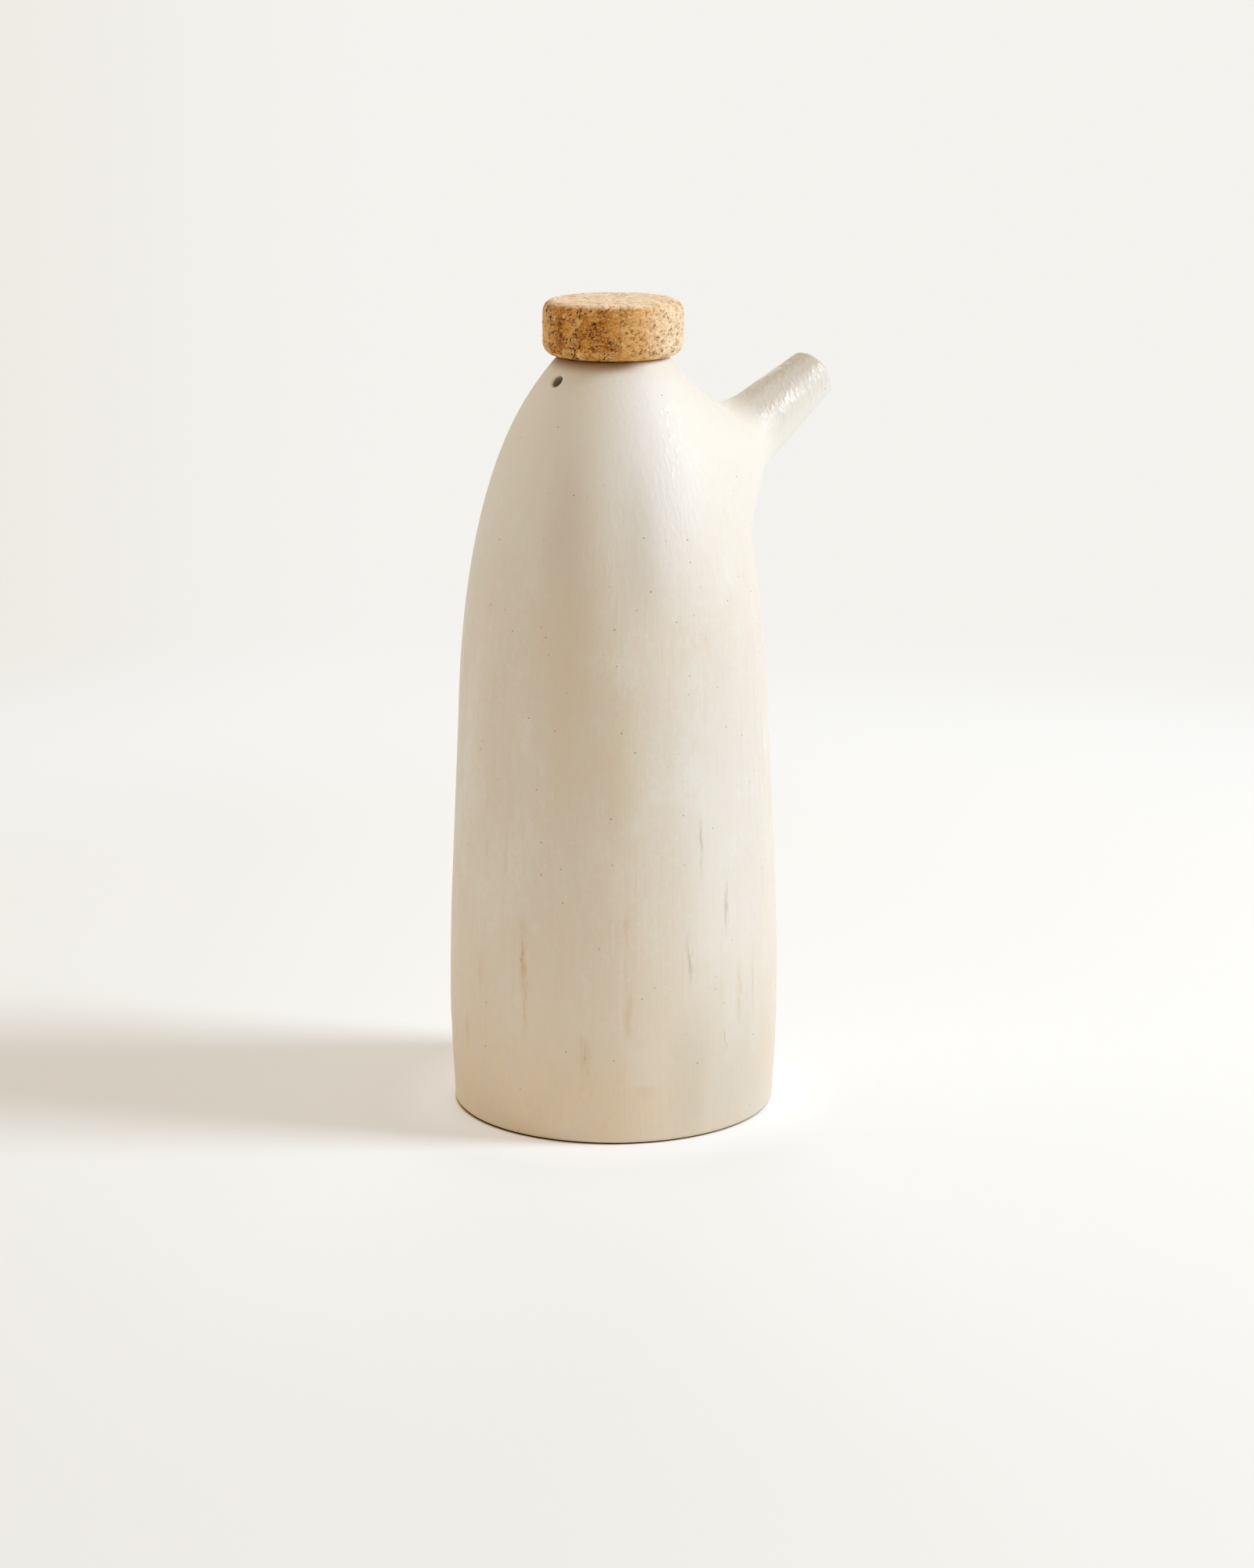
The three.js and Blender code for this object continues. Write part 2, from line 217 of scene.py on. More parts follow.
class NodeGraph:
    """Short hand for the node tree of one material."""

    def __init__(self, name: str) -> None:
        """Start a material with an empty node tree.

        Args:
            name: Name of the material.
        """
        self.material = bpy.data.materials.new(name)
        self.material.use_nodes = True
        self.tree = self.material.node_tree
        self.tree.nodes.clear()

    def node(self, kind: str, inputs: dict | None = None, **settings: object) -> bpy.types.Node:
        """Add a node.

        Args:
            kind: Blender's name of the node type, without "ShaderNode".
            inputs: Sockets to link or values to set, by input name or number.
            **settings: Properties of the node itself.

        Returns:
            The new node.
        """
        made = self.tree.nodes.new("ShaderNode" + kind)
        for key, value in settings.items():
            setattr(made, key, value)
        for key, value in (inputs or {}).items():
            if isinstance(value, Socket):
                self.tree.links.new(value, made.inputs[key])
            else:
                made.inputs[key].default_value = value
        return made

    def place(self, size: Triple = (1.0, 1.0, 1.0), turn: Triple = (0.0, 0.0, 0.0)) -> Socket:
        """Object coordinates, turned and then divided by a pattern's size in millimetres on each axis.

        Args:
            size: Size of the pattern along each axis.
            turn: Angles to turn by, in radians.

        Returns:
            The coordinates in sizes of the pattern.
        """
        coordinates = self.node("TexCoord").outputs["Object"]
        turned = self.node("Mapping", {"Vector": coordinates, "Rotation": turn}).outputs[0]
        factors = tuple(1.0 / (MM * each) for each in size)
        return self.node("Mapping", {"Vector": turned, "Scale": factors}).outputs[0]

    def noise(
        self, size: Triple, detail: float = 2.0, rough: float = 0.5, turn: Triple = (0.0, 0.0, 0.0)
    ) -> Socket:
        """Cloudy noise from 0 to 1 of a size in millimetres."""
        inputs = {"Vector": self.place(size, turn), "Scale": 1.0, "Detail": detail, "Roughness": rough}
        return self.node("TexNoise", inputs).outputs["Fac"]

    def cells(self, vector: Socket, feature: str = "F1") -> bpy.types.Node:
        """Cells of unit size round random points."""
        return self.node("TexVoronoi", {"Vector": vector, "Scale": 1.0}, feature=feature)

    def red(self, colour: Socket) -> Socket:
        """First channel of a colour."""
        return self.node("SeparateColor", {0: colour}).outputs[0]

    def span(self, value: Socket, low: float, high: float, start: float = 0.0, stop: float = 1.0) -> Socket:
        """Ease from start to stop as a value goes from low to high."""
        limits = {"Value": value, "From Min": low, "From Max": high, "To Min": start, "To Max": stop}
        return self.node("MapRange", limits, interpolation_type="SMOOTHSTEP").outputs["Result"]

    def math(self, operation: str, first: object, second: object = 0.0) -> Socket:
        """Combine two numbers."""
        return self.node("Math", {0: first, 1: second}, operation=operation).outputs[0]

    def times(self, first: object, *others: object) -> Socket:
        """Multiply numbers."""
        for other in others:
            first = self.math("MULTIPLY", first, other)
        return first

    def most(self, first: object, *others: object) -> Socket:
        """Take the largest of several numbers."""
        for other in others:
            first = self.math("MAXIMUM", first, other)
        return first

    def vector(self, operation: str, first: Socket, second: object = (0.0, 0.0, 0.0)) -> Socket:
        """Combine two vectors into a vector, or into a number for a length or a dot product."""
        made = self.node("VectorMath", {0: first, 1: second}, operation=operation)
        return made.outputs["Value" if operation in ("LENGTH", "DOT_PRODUCT") else "Vector"]

    def blend(self, factor: object, first: object, second: object) -> Socket:
        """Mix two colours by a factor."""
        return self.node("Mix", {0: factor, 6: first, 7: second}, data_type="RGBA").outputs[2]

    def veils(self, ground: object, layers: tuple) -> Socket:
        """Lay thin colours over a ground in order.

        Args:
            ground: Colour to start from.
            layers: Rows of a pattern, its values at no and at full cover, that cover, and a colour.

        Returns:
            The colour with every layer on it.
        """
        for pattern, bare, full, cover, colour in layers:
            ground = self.blend(self.span(pattern, bare, full, 0.0, cover), ground, colour)
        return ground

    def choose(self, factor: object, first: object, second: object) -> Socket:
        """Mix two numbers by a factor."""
        return self.node("Mix", {0: factor, 2: first, 3: second}, data_type="FLOAT").outputs[0]

    def attribute(self, name: str) -> Socket:
        """Read a number stored on the vertices."""
        return self.node("Attribute", attribute_name=name).outputs["Fac"]

    def relief(self, layers: tuple) -> Socket:
        """Raise the surface by rows of a height from 0 to 1, a depth in millimetres and a strength.

        Args:
            layers: The rows, the lowest first.

        Returns:
            Normals of the raised surface.
        """
        under: dict[str, Socket] = {}
        for height, depth, strength in layers:
            inputs = {"Height": height, "Distance": depth * MM, "Strength": strength}
            under = {"Normal": self.node("Bump", inputs | under).outputs[0]}
        return under["Normal"]

    def coat(self, colour: Socket, roughness: object, relief: Socket, sheen: float) -> bpy.types.Material:
        """Show a solid surface and hand over the material.

        Args:
            colour: Colour of the surface.
            roughness: How dull it is, 0 to 1.
            relief: Normals of its relief.
            sheen: Share of light that it mirrors, where 0.5 is common.

        Returns:
            The material.
        """
        inputs = {"Base Color": colour, "Roughness": roughness, "Normal": relief}
        shader = self.node("BsdfPrincipled", inputs | {"Specular IOR Level": sheen})
        return self.finish(shader.outputs[0])

    def finish(self, shader: Socket) -> bpy.types.Material:
        """Show a shader on the surface and hand over the material."""
        self.node("OutputMaterial", {"Surface": shader})
        return self.material


class Trace(Enum):
    """What a mark of the brush shows."""

    OCHRE = "clay stained through thin glaze"
    # Narrow marks of this kind are bristle lines; the broad ones are painted shade.
    GREY = "line left by a bristle"
    MILK = "thick run of glaze"
    THIN = "broad thin stroke"
    BEADS = "small beads in thick glaze"
    # Painted light tint: a cooler tone on the lit right side for the cool key lamp.
    LIT_SIDE_COOL = "thick glaze with a cooler tone"
    ROSE = "glaze with a rosy tone"
    # Painted highlight tint on the shoulder, bluish white.
    PAINTED_HIGHLIGHT = "bluish white thick glaze"


@dataclass(frozen=True)
class BrushMark:
    """One upright mark on the wall, placed in degrees round from the glaze's front and by its heights."""

    bearing: float
    low: float
    high: float
    width: float
    strength: float


FRONT_MARKS = {
    Trace.THIN: (
        # Painted core shade: a darker, warmer band just left of the middle.
        BrushMark(-17.0, 56.0, 164.0, 14.0, 0.60),
        BrushMark(1.0, 60.0, 118.0, 9.0, 0.35),
        BrushMark(-48.0, 62.0, 124.0, 17.0, 0.26),
    ),
    Trace.LIT_SIDE_COOL: (
        # Cooler tone painted on the lit right side for the cool key lamp.
        BrushMark(50.0, -60.0, 178.0, 36.0, 0.30),
    ),
    Trace.ROSE: (
        BrushMark(-21.0, 130.0, 174.0, 11.0, 0.26),
    ),
    Trace.PAINTED_HIGHLIGHT: (
        # Painted highlight tint: bluish white where the key lamp's highlight lies on the shoulder.
        BrushMark(21.0, 118.0, 212.0, 24.0, 0.45),
    ),
    Trace.MILK: (
        BrushMark(44.0, 16.0, 40.0, 3.2, 0.35),
        BrushMark(58.0, 17.0, 40.0, 3.4, 0.35),
        BrushMark(10.0, 14.0, 28.0, 8.0, 0.35),
        BrushMark(36.0, 42.0, 104.0, 13.0, 0.42),
    ),
    Trace.OCHRE: (
        BrushMark(-32.3, 36.0, 57.0, 1.2, 0.75),
        BrushMark(-31.4, 24.0, 44.0, 0.8, 0.40),
        BrushMark(-10.0, 15.5, 29.0, 2.3, 0.40),
        BrushMark(-8.6, 14.5, 24.0, 1.5, 0.25),
        BrushMark(5.0, 48.0, 61.0, 0.9, 0.55),
        BrushMark(5.4, 25.0, 41.0, 1.2, 0.42),
        BrushMark(-61.8, 16.0, 29.0, 1.6, 0.42),
        BrushMark(-52.5, 32.0, 47.0, 1.2, 0.22),
        BrushMark(48.9, 24.0, 45.0, 0.9, 0.45),
        BrushMark(56.9, 22.0, 47.0, 0.8, 0.40),
        BrushMark(0.0, 72.0, 124.0, 13.0, 0.16),
    ),
    Trace.GREY: (
        BrushMark(32.8, 64.0, 82.0, 0.8, 0.55),
        BrushMark(27.2, 37.0, 55.0, 0.9, 0.60),
        BrushMark(43.0, 48.0, 66.0, 0.8, 0.62),
        BrushMark(42.0, 16.5, 30.0, 0.9, 0.60),
        BrushMark(29.0, 12.5, 21.0, 0.8, 0.45),
        # Painted shade: the lower right darker, where the key lamp's light falls off.
        BrushMark(52.0, -30.0, 48.0, 30.0, 0.38),
        BrushMark(30.0, -14.0, 42.0, 11.0, 0.42),
        # Painted shade along the shoulder's shaded band beside the highlight.
        BrushMark(12.5, 120.0, 170.0, 10.0, 0.34),
    ),
    Trace.BEADS: (
        BrushMark(31.0, 136.0, 178.0, 9.0, 0.60),
    ),
}


@dataclass(frozen=True)
class GlazeFinish:
    """Satin cream glaze brushed upright over buff clay, with iron specks and ochre runs, plus painted shade
    on the spout, in the hole, on the foot's edge, under the cork and in some broad marks, and painted light
    tints on the lit side and shoulder.
    """

    clay: Colour = (0.834, 0.694, 0.531, 1.0)
    glaze: Colour = (0.793, 0.731, 0.675, 1.0)
    milk: Colour = (0.82, 0.805, 0.785, 1.0)
    blush: Colour = (0.777, 0.696, 0.620, 1.0)
    thin: Colour = (0.735, 0.630, 0.505, 1.0)
    pinkish: Colour = (0.800, 0.718, 0.690, 1.0)
    greenish: Colour = (0.768, 0.746, 0.664, 1.0)
    ochre: Colour = (0.63, 0.455, 0.215, 1.0)
    shade: Colour = (0.55, 0.50, 0.42, 1.0)
    iron: Colour = (0.17, 0.11, 0.07, 1.0)
    # Painted shade on the spout's top and far ridge.
    spout_shade: Colour = (0.55, 0.515, 0.475, 1.0)
    # Painted shade inside the breathing hole.
    hole_shade: Colour = (0.36, 0.29, 0.19, 1.0)
    # Painted contact shade on the foot's lower edge.
    foot_contact_shade: Colour = (0.21, 0.11, 0.018, 1.0)
    # Painted shadow of the cork on the rim.
    cork_shadow: Colour = (0.33, 0.185, 0.09, 1.0)
    # Cooler tone painted on the lit right side.
    lit_side_cool: Colour = (0.655, 0.675, 0.715, 1.0)
    rose: Colour = (0.66, 0.54, 0.56, 1.0)
    # Painted highlight tint on the shoulder.
    highlight_tint: Colour = (0.84, 0.85, 0.93, 1.0)
    front: float = math.radians(128.0)
    radius: float = 40.3
    narrow: float = 3.0
    fade_share: float = 0.42
    run_start: float = 0.25
    shred_size: Triple = (0.7, 0.7, 4.0)
    shred_range: Triple = (0.36, 0.58, 0.30)
    wander: tuple[Triple, float] = ((4.0, 4.0, 9.0), 2.2)
    shiver: tuple[Triple, float] = ((1.0, 1.0, 2.4), 1.8)
    glaze_rise: Pair = (5.0, 22.0)
    glaze_fringe: float = 16.0
    spout_pitch: float = math.radians(90.0 - 31.4)
    spout_root: Triple = (40.27, 0.0, 162.38)
    spout_ridge: Triple = (-0.3414, 0.5539, 0.7595)
    # Reaches and covers of the painted shade on the spout.
    spout_shade_cover: float = 0.78
    spout_shade_root: Triple = (-1.5, 6.5, 0.0)
    spout_shade_length: Triple = (6.0, 24.0, 0.8)
    spout_shade_top: Triple = (-2.0, 6.5, 0.25)
    spout_shade_ridge: Triple = (7.869, 8.967, 0.0)
    ridge_shade_cover: float = 0.45
    speck_spacing: Triple = (2.7, 2.7, 2.7)
    speck_size: float = 0.072
    speck_cover: float = 0.80
    hole_shade_cover: float = 0.85
    base_height: Pair = (0.45, 0.25)
    # Painted contact shade on the foot's edge: heights, radii and cover.
    contact_shade_height: Pair = (0.37, 0.25)
    contact_shade_reach: Pair = (37.4, 38.2)
    contact_shade_cover: float = 0.90
    # Painted shadow of the cork on the rim: side, reach, heights and cover.
    cork_shadow_side: Triple = (-0.951, 0.309, 0.0)
    cork_shadow_reach: Pair = (-5.0, 4.5)
    cork_shadow_height: Pair = (182.6, 185.3)
    cork_shadow_cover: float = 0.85
    bare_rough: float = 0.60
    brushed_rough: Pair = (0.62, 0.48)
    dome_height: Pair = (118.0, 150.0)
    bead_rough: float = 0.34
    spout_rough: float = 0.33
    bead_swell: Pair = (0.30, 3.4)
    sheen: float = 0.85

    def streaks(self, graph: NodeGraph, width: float, length: float, detail: float) -> Socket:
        """Brush strokes that run up the wall and out along the spout.

        Args:
            graph: Node tree to add to.
            width: Width of a stroke in millimetres.
            length: Length of a stroke in millimetres.
            detail: Number of finer layers in the noise.

        Returns:
            Noise from 0 to 1, drawn out along the stroke.
        """
        size = (width, width, length)
        on_wall = graph.noise(size, detail)
        on_spout = graph.noise(size, detail, turn=(0.0, -self.spout_pitch, 0.0))
        return graph.choose(graph.attribute("spout"), on_wall, on_spout)

    def painted_spout_shade(self, graph: NodeGraph, place: Socket) -> Socket:
        """Cover of the painted shade on the spout: none at its root, more on top, most on the far ridge.

        Args:
            graph: Node tree to add to.
            place: Object coordinates in millimetres.

        Returns:
            Cover of the painted shade.
        """
        out = np.array([math.sin(self.spout_pitch), 0.0, math.cos(self.spout_pitch)])
        up = np.array([-out[2], 0.0, out[0]])
        ridge = np.array(self.spout_ridge)

        def along(axis: Array, low: float, high: float, start: float) -> Socket:
            """Ease up with the distance from the root along an axis, in millimetres."""
            root = float(axis @ np.array(self.spout_root))
            moved = graph.vector("DOT_PRODUCT", place, tuple(axis))
            return graph.span(moved, root + low, root + high, start)

        # Painted shade: greyer on top, darkest along the far ridge's edge, none at the root.
        far = graph.times(along(ridge, *self.spout_shade_ridge), self.ridge_shade_cover)
        top = graph.math("ADD", along(up, *self.spout_shade_top), far)
        return graph.times(along(out, *self.spout_shade_root), along(out, *self.spout_shade_length), top)

    def across(self, graph: NodeGraph, front: bpy.types.Node) -> Socket:
        """Distance round the wall from the front in millimetres, with the unsteadiness of a brush.

        Args:
            graph: Node tree to add to.
            front: Node that splits the coordinates turned to the front.

        Returns:
            Bearing times the wall's radius, plus two sizes of noise.
        """
        bearing = graph.math("ARCTAN2", front.outputs[1], front.outputs[0])
        total = graph.times(bearing, self.radius)
        for size, amount in (self.wander, self.shiver):
            swing = graph.math("SUBTRACT", graph.noise(size), 0.5)
            total = graph.math("ADD", total, graph.times(swing, amount))
        return total

    def marks(self, graph: NodeGraph, across: Socket, height: Socket, trace: Trace) -> Socket:
        """Cover of all marks of one kind.

        A mark is full on its own line, fades to nothing at its width and fades out at both ends.

        Args:
            graph: Node tree to add to.
            across: Distance round the wall from the front, in millimetres.
            height: Height in millimetres.
            trace: Kind of mark.

        Returns:
            Cover from 0 to 1.
        """
        total: object = 0.0
        shred = graph.span(graph.noise(self.shred_size), *self.shred_range, 1.0)
        for mark in FRONT_MARKS[trace]:
            middle = math.radians(mark.bearing) * self.radius
            away = graph.math("ABSOLUTE", graph.math("SUBTRACT", across, middle))
            near = graph.span(away, mark.width, 0.0, 0.0, mark.strength)
            if mark.width < self.narrow:
                near = graph.times(near, shred)
            soft = (mark.high - mark.low) * self.fade_share
            start = soft * self.run_start if trace is Trace.MILK else soft
            above = graph.span(height, mark.low, mark.low + start)
            below = graph.span(height, mark.high, mark.high - soft)
            total = graph.most(graph.times(near, above, below), total)
        return total

    def build(self) -> bpy.types.Material:
        """Make the material: glaze and clay, then marks with their painted shade and light tints, specks,
        bare clay at the base and painted shade in the hole, on the foot's edge and under the cork, then
        gloss and relief.

        Returns:
            The finished material.
        """
        graph = NodeGraph("satin_cream_glaze")
        place = graph.place()
        front = graph.node("SeparateXYZ", {0: graph.place(turn=(0.0, 0.0, self.front))})
        height = front.outputs[2]
        across = self.across(graph, front)
        broad = self.streaks(graph, 10.0, 110.0, 2.0)
        bristle = self.streaks(graph, 1.2, 26.0, 3.0)
        cloud = graph.noise((36.0, 36.0, 52.0), 3.0)
        haze = graph.noise((13.0, 13.0, 22.0), 3.0, 0.55)
        dab = graph.noise((4.5, 4.5, 15.0), 3.0, 0.6)
        tint = graph.noise((5.0, 5.0, 8.0), 4.0, 0.75)
        mottle = graph.noise((1.7, 1.7, 2.4), 2.0, 0.6)
        grain = graph.noise((0.5, 0.5, 0.5), 3.0, 0.6)
        ragged = graph.noise((7.0, 7.0, 9.0), 4.0, 0.6)
        beads = graph.noise((1.1, 1.1, 3.4), 1.0)
        above = graph.math("SUBTRACT", height, graph.times(ragged, self.glaze_fringe))
        cover = graph.span(above, *self.glaze_rise)

        tone = graph.veils(
            self.glaze,
            (
                (cloud, 0.52, 0.30, 0.75, self.blush),
                (cloud, 0.50, 0.72, 0.80, self.milk),
                (haze, 0.50, 0.66, 0.84, self.milk),
                (haze, 0.48, 0.32, 0.84, self.blush),
                (dab, 0.52, 0.70, 0.45, self.milk),
                (dab, 0.46, 0.30, 0.50, self.blush),
                (broad, 0.50, 0.32, 0.35, self.blush),
                (mottle, 0.52, 0.68, 0.44, self.milk),
                (mottle, 0.48, 0.32, 0.50, self.blush),
                (tint, 0.51, 0.64, 0.70, self.pinkish),
                (tint, 0.49, 0.36, 0.70, self.greenish),
                (bristle, 0.54, 0.74, 0.22, self.milk),
                (bristle, 0.42, 0.24, 0.15, self.ochre),
                (grain, 0.54, 0.70, 0.14, self.ochre),
                (height, 84.0, 22.0, 0.42, self.clay),
                (height, 118.0, 166.0, 0.75, self.milk),
            ),
        )
        # Painted shade on the spout's top and far ridge.
        tone = graph.blend(graph.times(self.painted_spout_shade(graph, place), self.spout_shade_cover), tone, self.spout_shade)
        body = graph.veils(
            self.clay,
            (
                (grain, 0.40, 0.62, 0.40, self.blush),
                (haze, 0.42, 0.62, 0.65, self.blush),
                (haze, 0.44, 0.30, 0.40, self.thin),
                (mottle, 0.52, 0.70, 0.30, self.glaze),
                (mottle, 0.46, 0.30, 0.34, self.thin),
            ),
        )
        colour = graph.blend(cover, body, tone)
        # Bristle lines, and broad marks of painted shade on the lower right and along the shoulder's shaded
        # band.
        lines = self.marks(graph, across, height, Trace.GREY)
        for trace, over in (
            (Trace.THIN, self.thin),
            # Cooler tone painted on the lit right side.
            (Trace.LIT_SIDE_COOL, self.lit_side_cool),
            (Trace.ROSE, self.rose),
            # Painted highlight tint on the shoulder.
            (Trace.PAINTED_HIGHLIGHT, self.highlight_tint),
            (Trace.MILK, self.milk),
            (Trace.OCHRE, self.ochre),
        ):
            colour = graph.blend(self.marks(graph, across, height, trace), colour, over)
        colour = graph.blend(lines, colour, self.shade)

        cells = graph.cells(graph.place(self.speck_spacing))
        size = graph.span(graph.red(cells.outputs["Color"]), 0.25, 1.0, 0.0, self.speck_size)
        speck = graph.math("SUBTRACT", cells.outputs["Distance"], size)
        outward = graph.vector("LENGTH", graph.vector("MULTIPLY", place, (1.0, 1.0, 0.0)))
        # Painted contact shade on the foot's lower edge.
        edge = graph.span(height, *self.contact_shade_height, 0.0, self.contact_shade_cover)
        # Painted shadow of the cork on the rim, on its left side.
        cork_shadow_share = graph.span(graph.vector("DOT_PRODUCT", place, self.cork_shadow_side), *self.cork_shadow_reach)
        rim = graph.span(height, *self.cork_shadow_height, 0.0, self.cork_shadow_cover)
        for share, over in (
            (graph.span(speck, 0.015, -0.02, 0.0, self.speck_cover), self.iron),
            # Painted shade inside the breathing hole.
            (graph.times(graph.attribute("hole"), self.hole_shade_cover), self.hole_shade),
            (graph.span(height, *self.base_height), body),
            # Painted contact shade on the foot's lower edge.
            (graph.times(edge, graph.span(outward, *self.contact_shade_reach)), self.foot_contact_shade),
            # Painted shadow of the cork on the rim.
            (graph.times(rim, cork_shadow_share), self.cork_shadow),
        ):
            colour = graph.blend(share, colour, over)

        spout = graph.attribute("spout")
        gloss: object = self.bare_rough
        for share, rough in (
            (cover, graph.span(bristle, 0.3, 0.7, *self.brushed_rough)),
            (graph.span(height, *self.dome_height), self.bare_rough),
            (graph.times(graph.span(beads, 0.60, 0.72), cover), self.bead_rough),
            (graph.times(spout, graph.span(ragged, 0.40, 0.62, 0.25, 1.0)), self.spout_rough),
        ):
            gloss = graph.choose(share, gloss, rough)
        beaded = graph.most(spout, self.marks(graph, across, height, Trace.BEADS))
        swollen = graph.times(beads, graph.choose(beaded, *self.bead_swell))
        relief = graph.relief(
            ((bristle, 0.16, 0.45), (swollen, 0.14, 0.5), (grain, 0.02, 0.5), (lines, 0.35, 0.6))
        )
        return graph.coat(colour, gloss, relief, self.sheen)


@dataclass(frozen=True)
class CorkFinish:
    """Pressed cork: tan granules, short dark cracks and pits, a paler top that is partly wear and partly
    painted sheen, painted light on the lit side and the left rim, and painted shade in the pits.
    """

    # Pale tone for the top, partly wear and partly painted sheen, and for the painted light on the lit side.
    pale_wear_and_painted_light: Colour = (0.96, 0.82, 0.64, 1.0)
    pale: Colour = (0.87, 0.56, 0.25, 1.0)
    tan: Colour = (0.73, 0.340, 0.079, 1.0)
    rust: Colour = (0.49, 0.178, 0.025, 1.0)
    bark: Colour = (0.135, 0.036, 0.005, 1.0)
    # Painted shade in the pits.
    pit_shade: Colour = (0.055, 0.022, 0.007, 1.0)
    # Direction towards the key lamp: the cork is painted paler on that side, as painted light.
    painted_lit_side: Triple = (0.454, -0.891, 0.0)
    # Direction of the left rim, which is painted paler as painted rim light.
    painted_rim_light_side: Triple = (-0.788, 0.616, 0.0)
    granule: Triple = (2.3, 2.3, 1.725)
    fleck: Triple = (1.15, 1.15, 1.0)
    wobble: Triple = (1.2, 1.2, 1.2)
    # Heights of the paler top, partly wear and partly painted sheen of the light from above.
    top_wear_and_sheen_height: Pair = (198.0, 199.0)
    # Reaches of the painted light on the side that faces the key lamp.
    painted_lit_reach: Pair = (11.8, 17.5)
    painted_pale_reach: Pair = (5.5, 12.0)
    painted_rim_light_reach: Pair = (13.4, 16.9)
    roughness: float = 0.60
    sheen: float = 0.08

    def build(self) -> bpy.types.Material:
        """Make the material: granules, then the paler top and the painted light, then flecks, cracks, seams
        and pits with their painted shade.

        Returns:
            The finished material.
        """
        graph = NodeGraph("pressed_cork")
        place = graph.place()
        height = graph.node("SeparateXYZ", {0: place}).outputs[2]
        # Distance towards the key lamp, for the painted light on the lit side.
        side = graph.vector("DOT_PRODUCT", place, self.painted_lit_side)
        # Distance towards the left rim, for its painted rim light.
        painted_rim_light = graph.vector("DOT_PRODUCT", place, self.painted_rim_light_side)
        shaken = {"Vector": graph.place(self.wobble), "Scale": 1.0, "Detail": 3.0}
        wobble = graph.node("TexNoise", shaken).outputs["Color"]
        granules = graph.vector("ADD", graph.place(self.granule), wobble)
        flecks = graph.cells(graph.vector("ADD", graph.place(self.fleck), wobble))
        pick = graph.red(graph.cells(granules).outputs["Color"])
        gap = graph.cells(granules, "DISTANCE_TO_EDGE").outputs["Distance"]
        grain = graph.noise((0.5, 0.5, 0.42), 4.0, 0.7)
        curl = graph.noise((1.5, 1.5, 1.0), 4.0, 0.65)
        patch = graph.noise((3.2, 3.2, 2.6), 3.0, 0.6)
        pit = graph.attribute("pit")

        colour = graph.veils(
            self.tan,
            (
                (pick, 0.5, 0.0, 0.70, self.rust),
                (pick, 0.5, 1.0, 0.75, self.pale),
                (patch, 0.50, 0.66, 0.50, self.rust),
                (grain, 0.52, 0.66, 0.65, self.rust),
                (grain, 0.48, 0.36, 0.70, self.pale),
                # Painted rim light on the left.
                (painted_rim_light, *self.painted_rim_light_reach, 0.92, self.pale),
                # Painted light: paler on the side that faces the key lamp.
                (side, *self.painted_pale_reach, 0.65, self.pale),
            ),
        )
        # Paler top, partly wear and partly painted sheen, joined with the painted light on the lit side.
        top_wear_and_sheen = graph.span(height, *self.top_wear_and_sheen_height, 0.0, 0.98)
        wear_and_painted_light = graph.most(top_wear_and_sheen, graph.span(side, *self.painted_lit_reach, 0.0, 0.92))
        # Mask of painted light: the lit side and the paler top.
        light = graph.most(wear_and_painted_light, graph.span(side, *self.painted_pale_reach, 0.0, 0.75))
        flake = graph.span(grain, 0.60, 0.46, 0.54, 1.0)
        colour = graph.blend(graph.times(wear_and_painted_light, flake), colour, self.pale_wear_and_painted_light)

        reach = graph.span(graph.red(flecks.outputs["Color"]), 0.66, 1.0, 0.0, 0.36)
        frayed = graph.math("ADD", flecks.outputs["Distance"], graph.span(grain, 0.35, 0.65, -0.16, 0.16))
        fleck = graph.span(graph.math("SUBTRACT", frayed, reach), 0.03, -0.05, 0.0, 0.96)
        ridge = graph.math("ABSOLUTE", graph.math("SUBTRACT", curl, 0.5))
        crack = graph.times(graph.span(ridge, 0.045, 0.012, 0.0, 0.92), graph.span(patch, 0.42, 0.58))
        seam = graph.times(graph.span(gap, 0.07, 0.0, 0.0, 0.40), graph.span(patch, 0.58, 0.44))
        dark = graph.most(seam, crack, graph.span(pit, 0.40, 0.95, 0.0, 0.45), fleck)
        faded = graph.times(dark, graph.span(top_wear_and_sheen, 0.0, 1.0, 1.0, 0.68))
        # Where the painted light falls, dark flecks turn rust instead of bark.
        colour = graph.blend(faded, colour, graph.blend(light, self.bark, self.rust))
        # Painted shade in the pits, weaker where the painted light falls.
        deep = graph.times(graph.span(pit, 0.35, 0.85, 0.0, 0.92), graph.span(light, 0.0, 0.8, 1.0, 0.25))
        colour = graph.blend(deep, colour, self.pit_shade)
        relief = graph.relief(((graph.math("SUBTRACT", 1.0, dark), 0.22, 0.6), (grain, 0.16, 0.7)))
        return graph.coat(colour, self.roughness, relief, self.sheen)


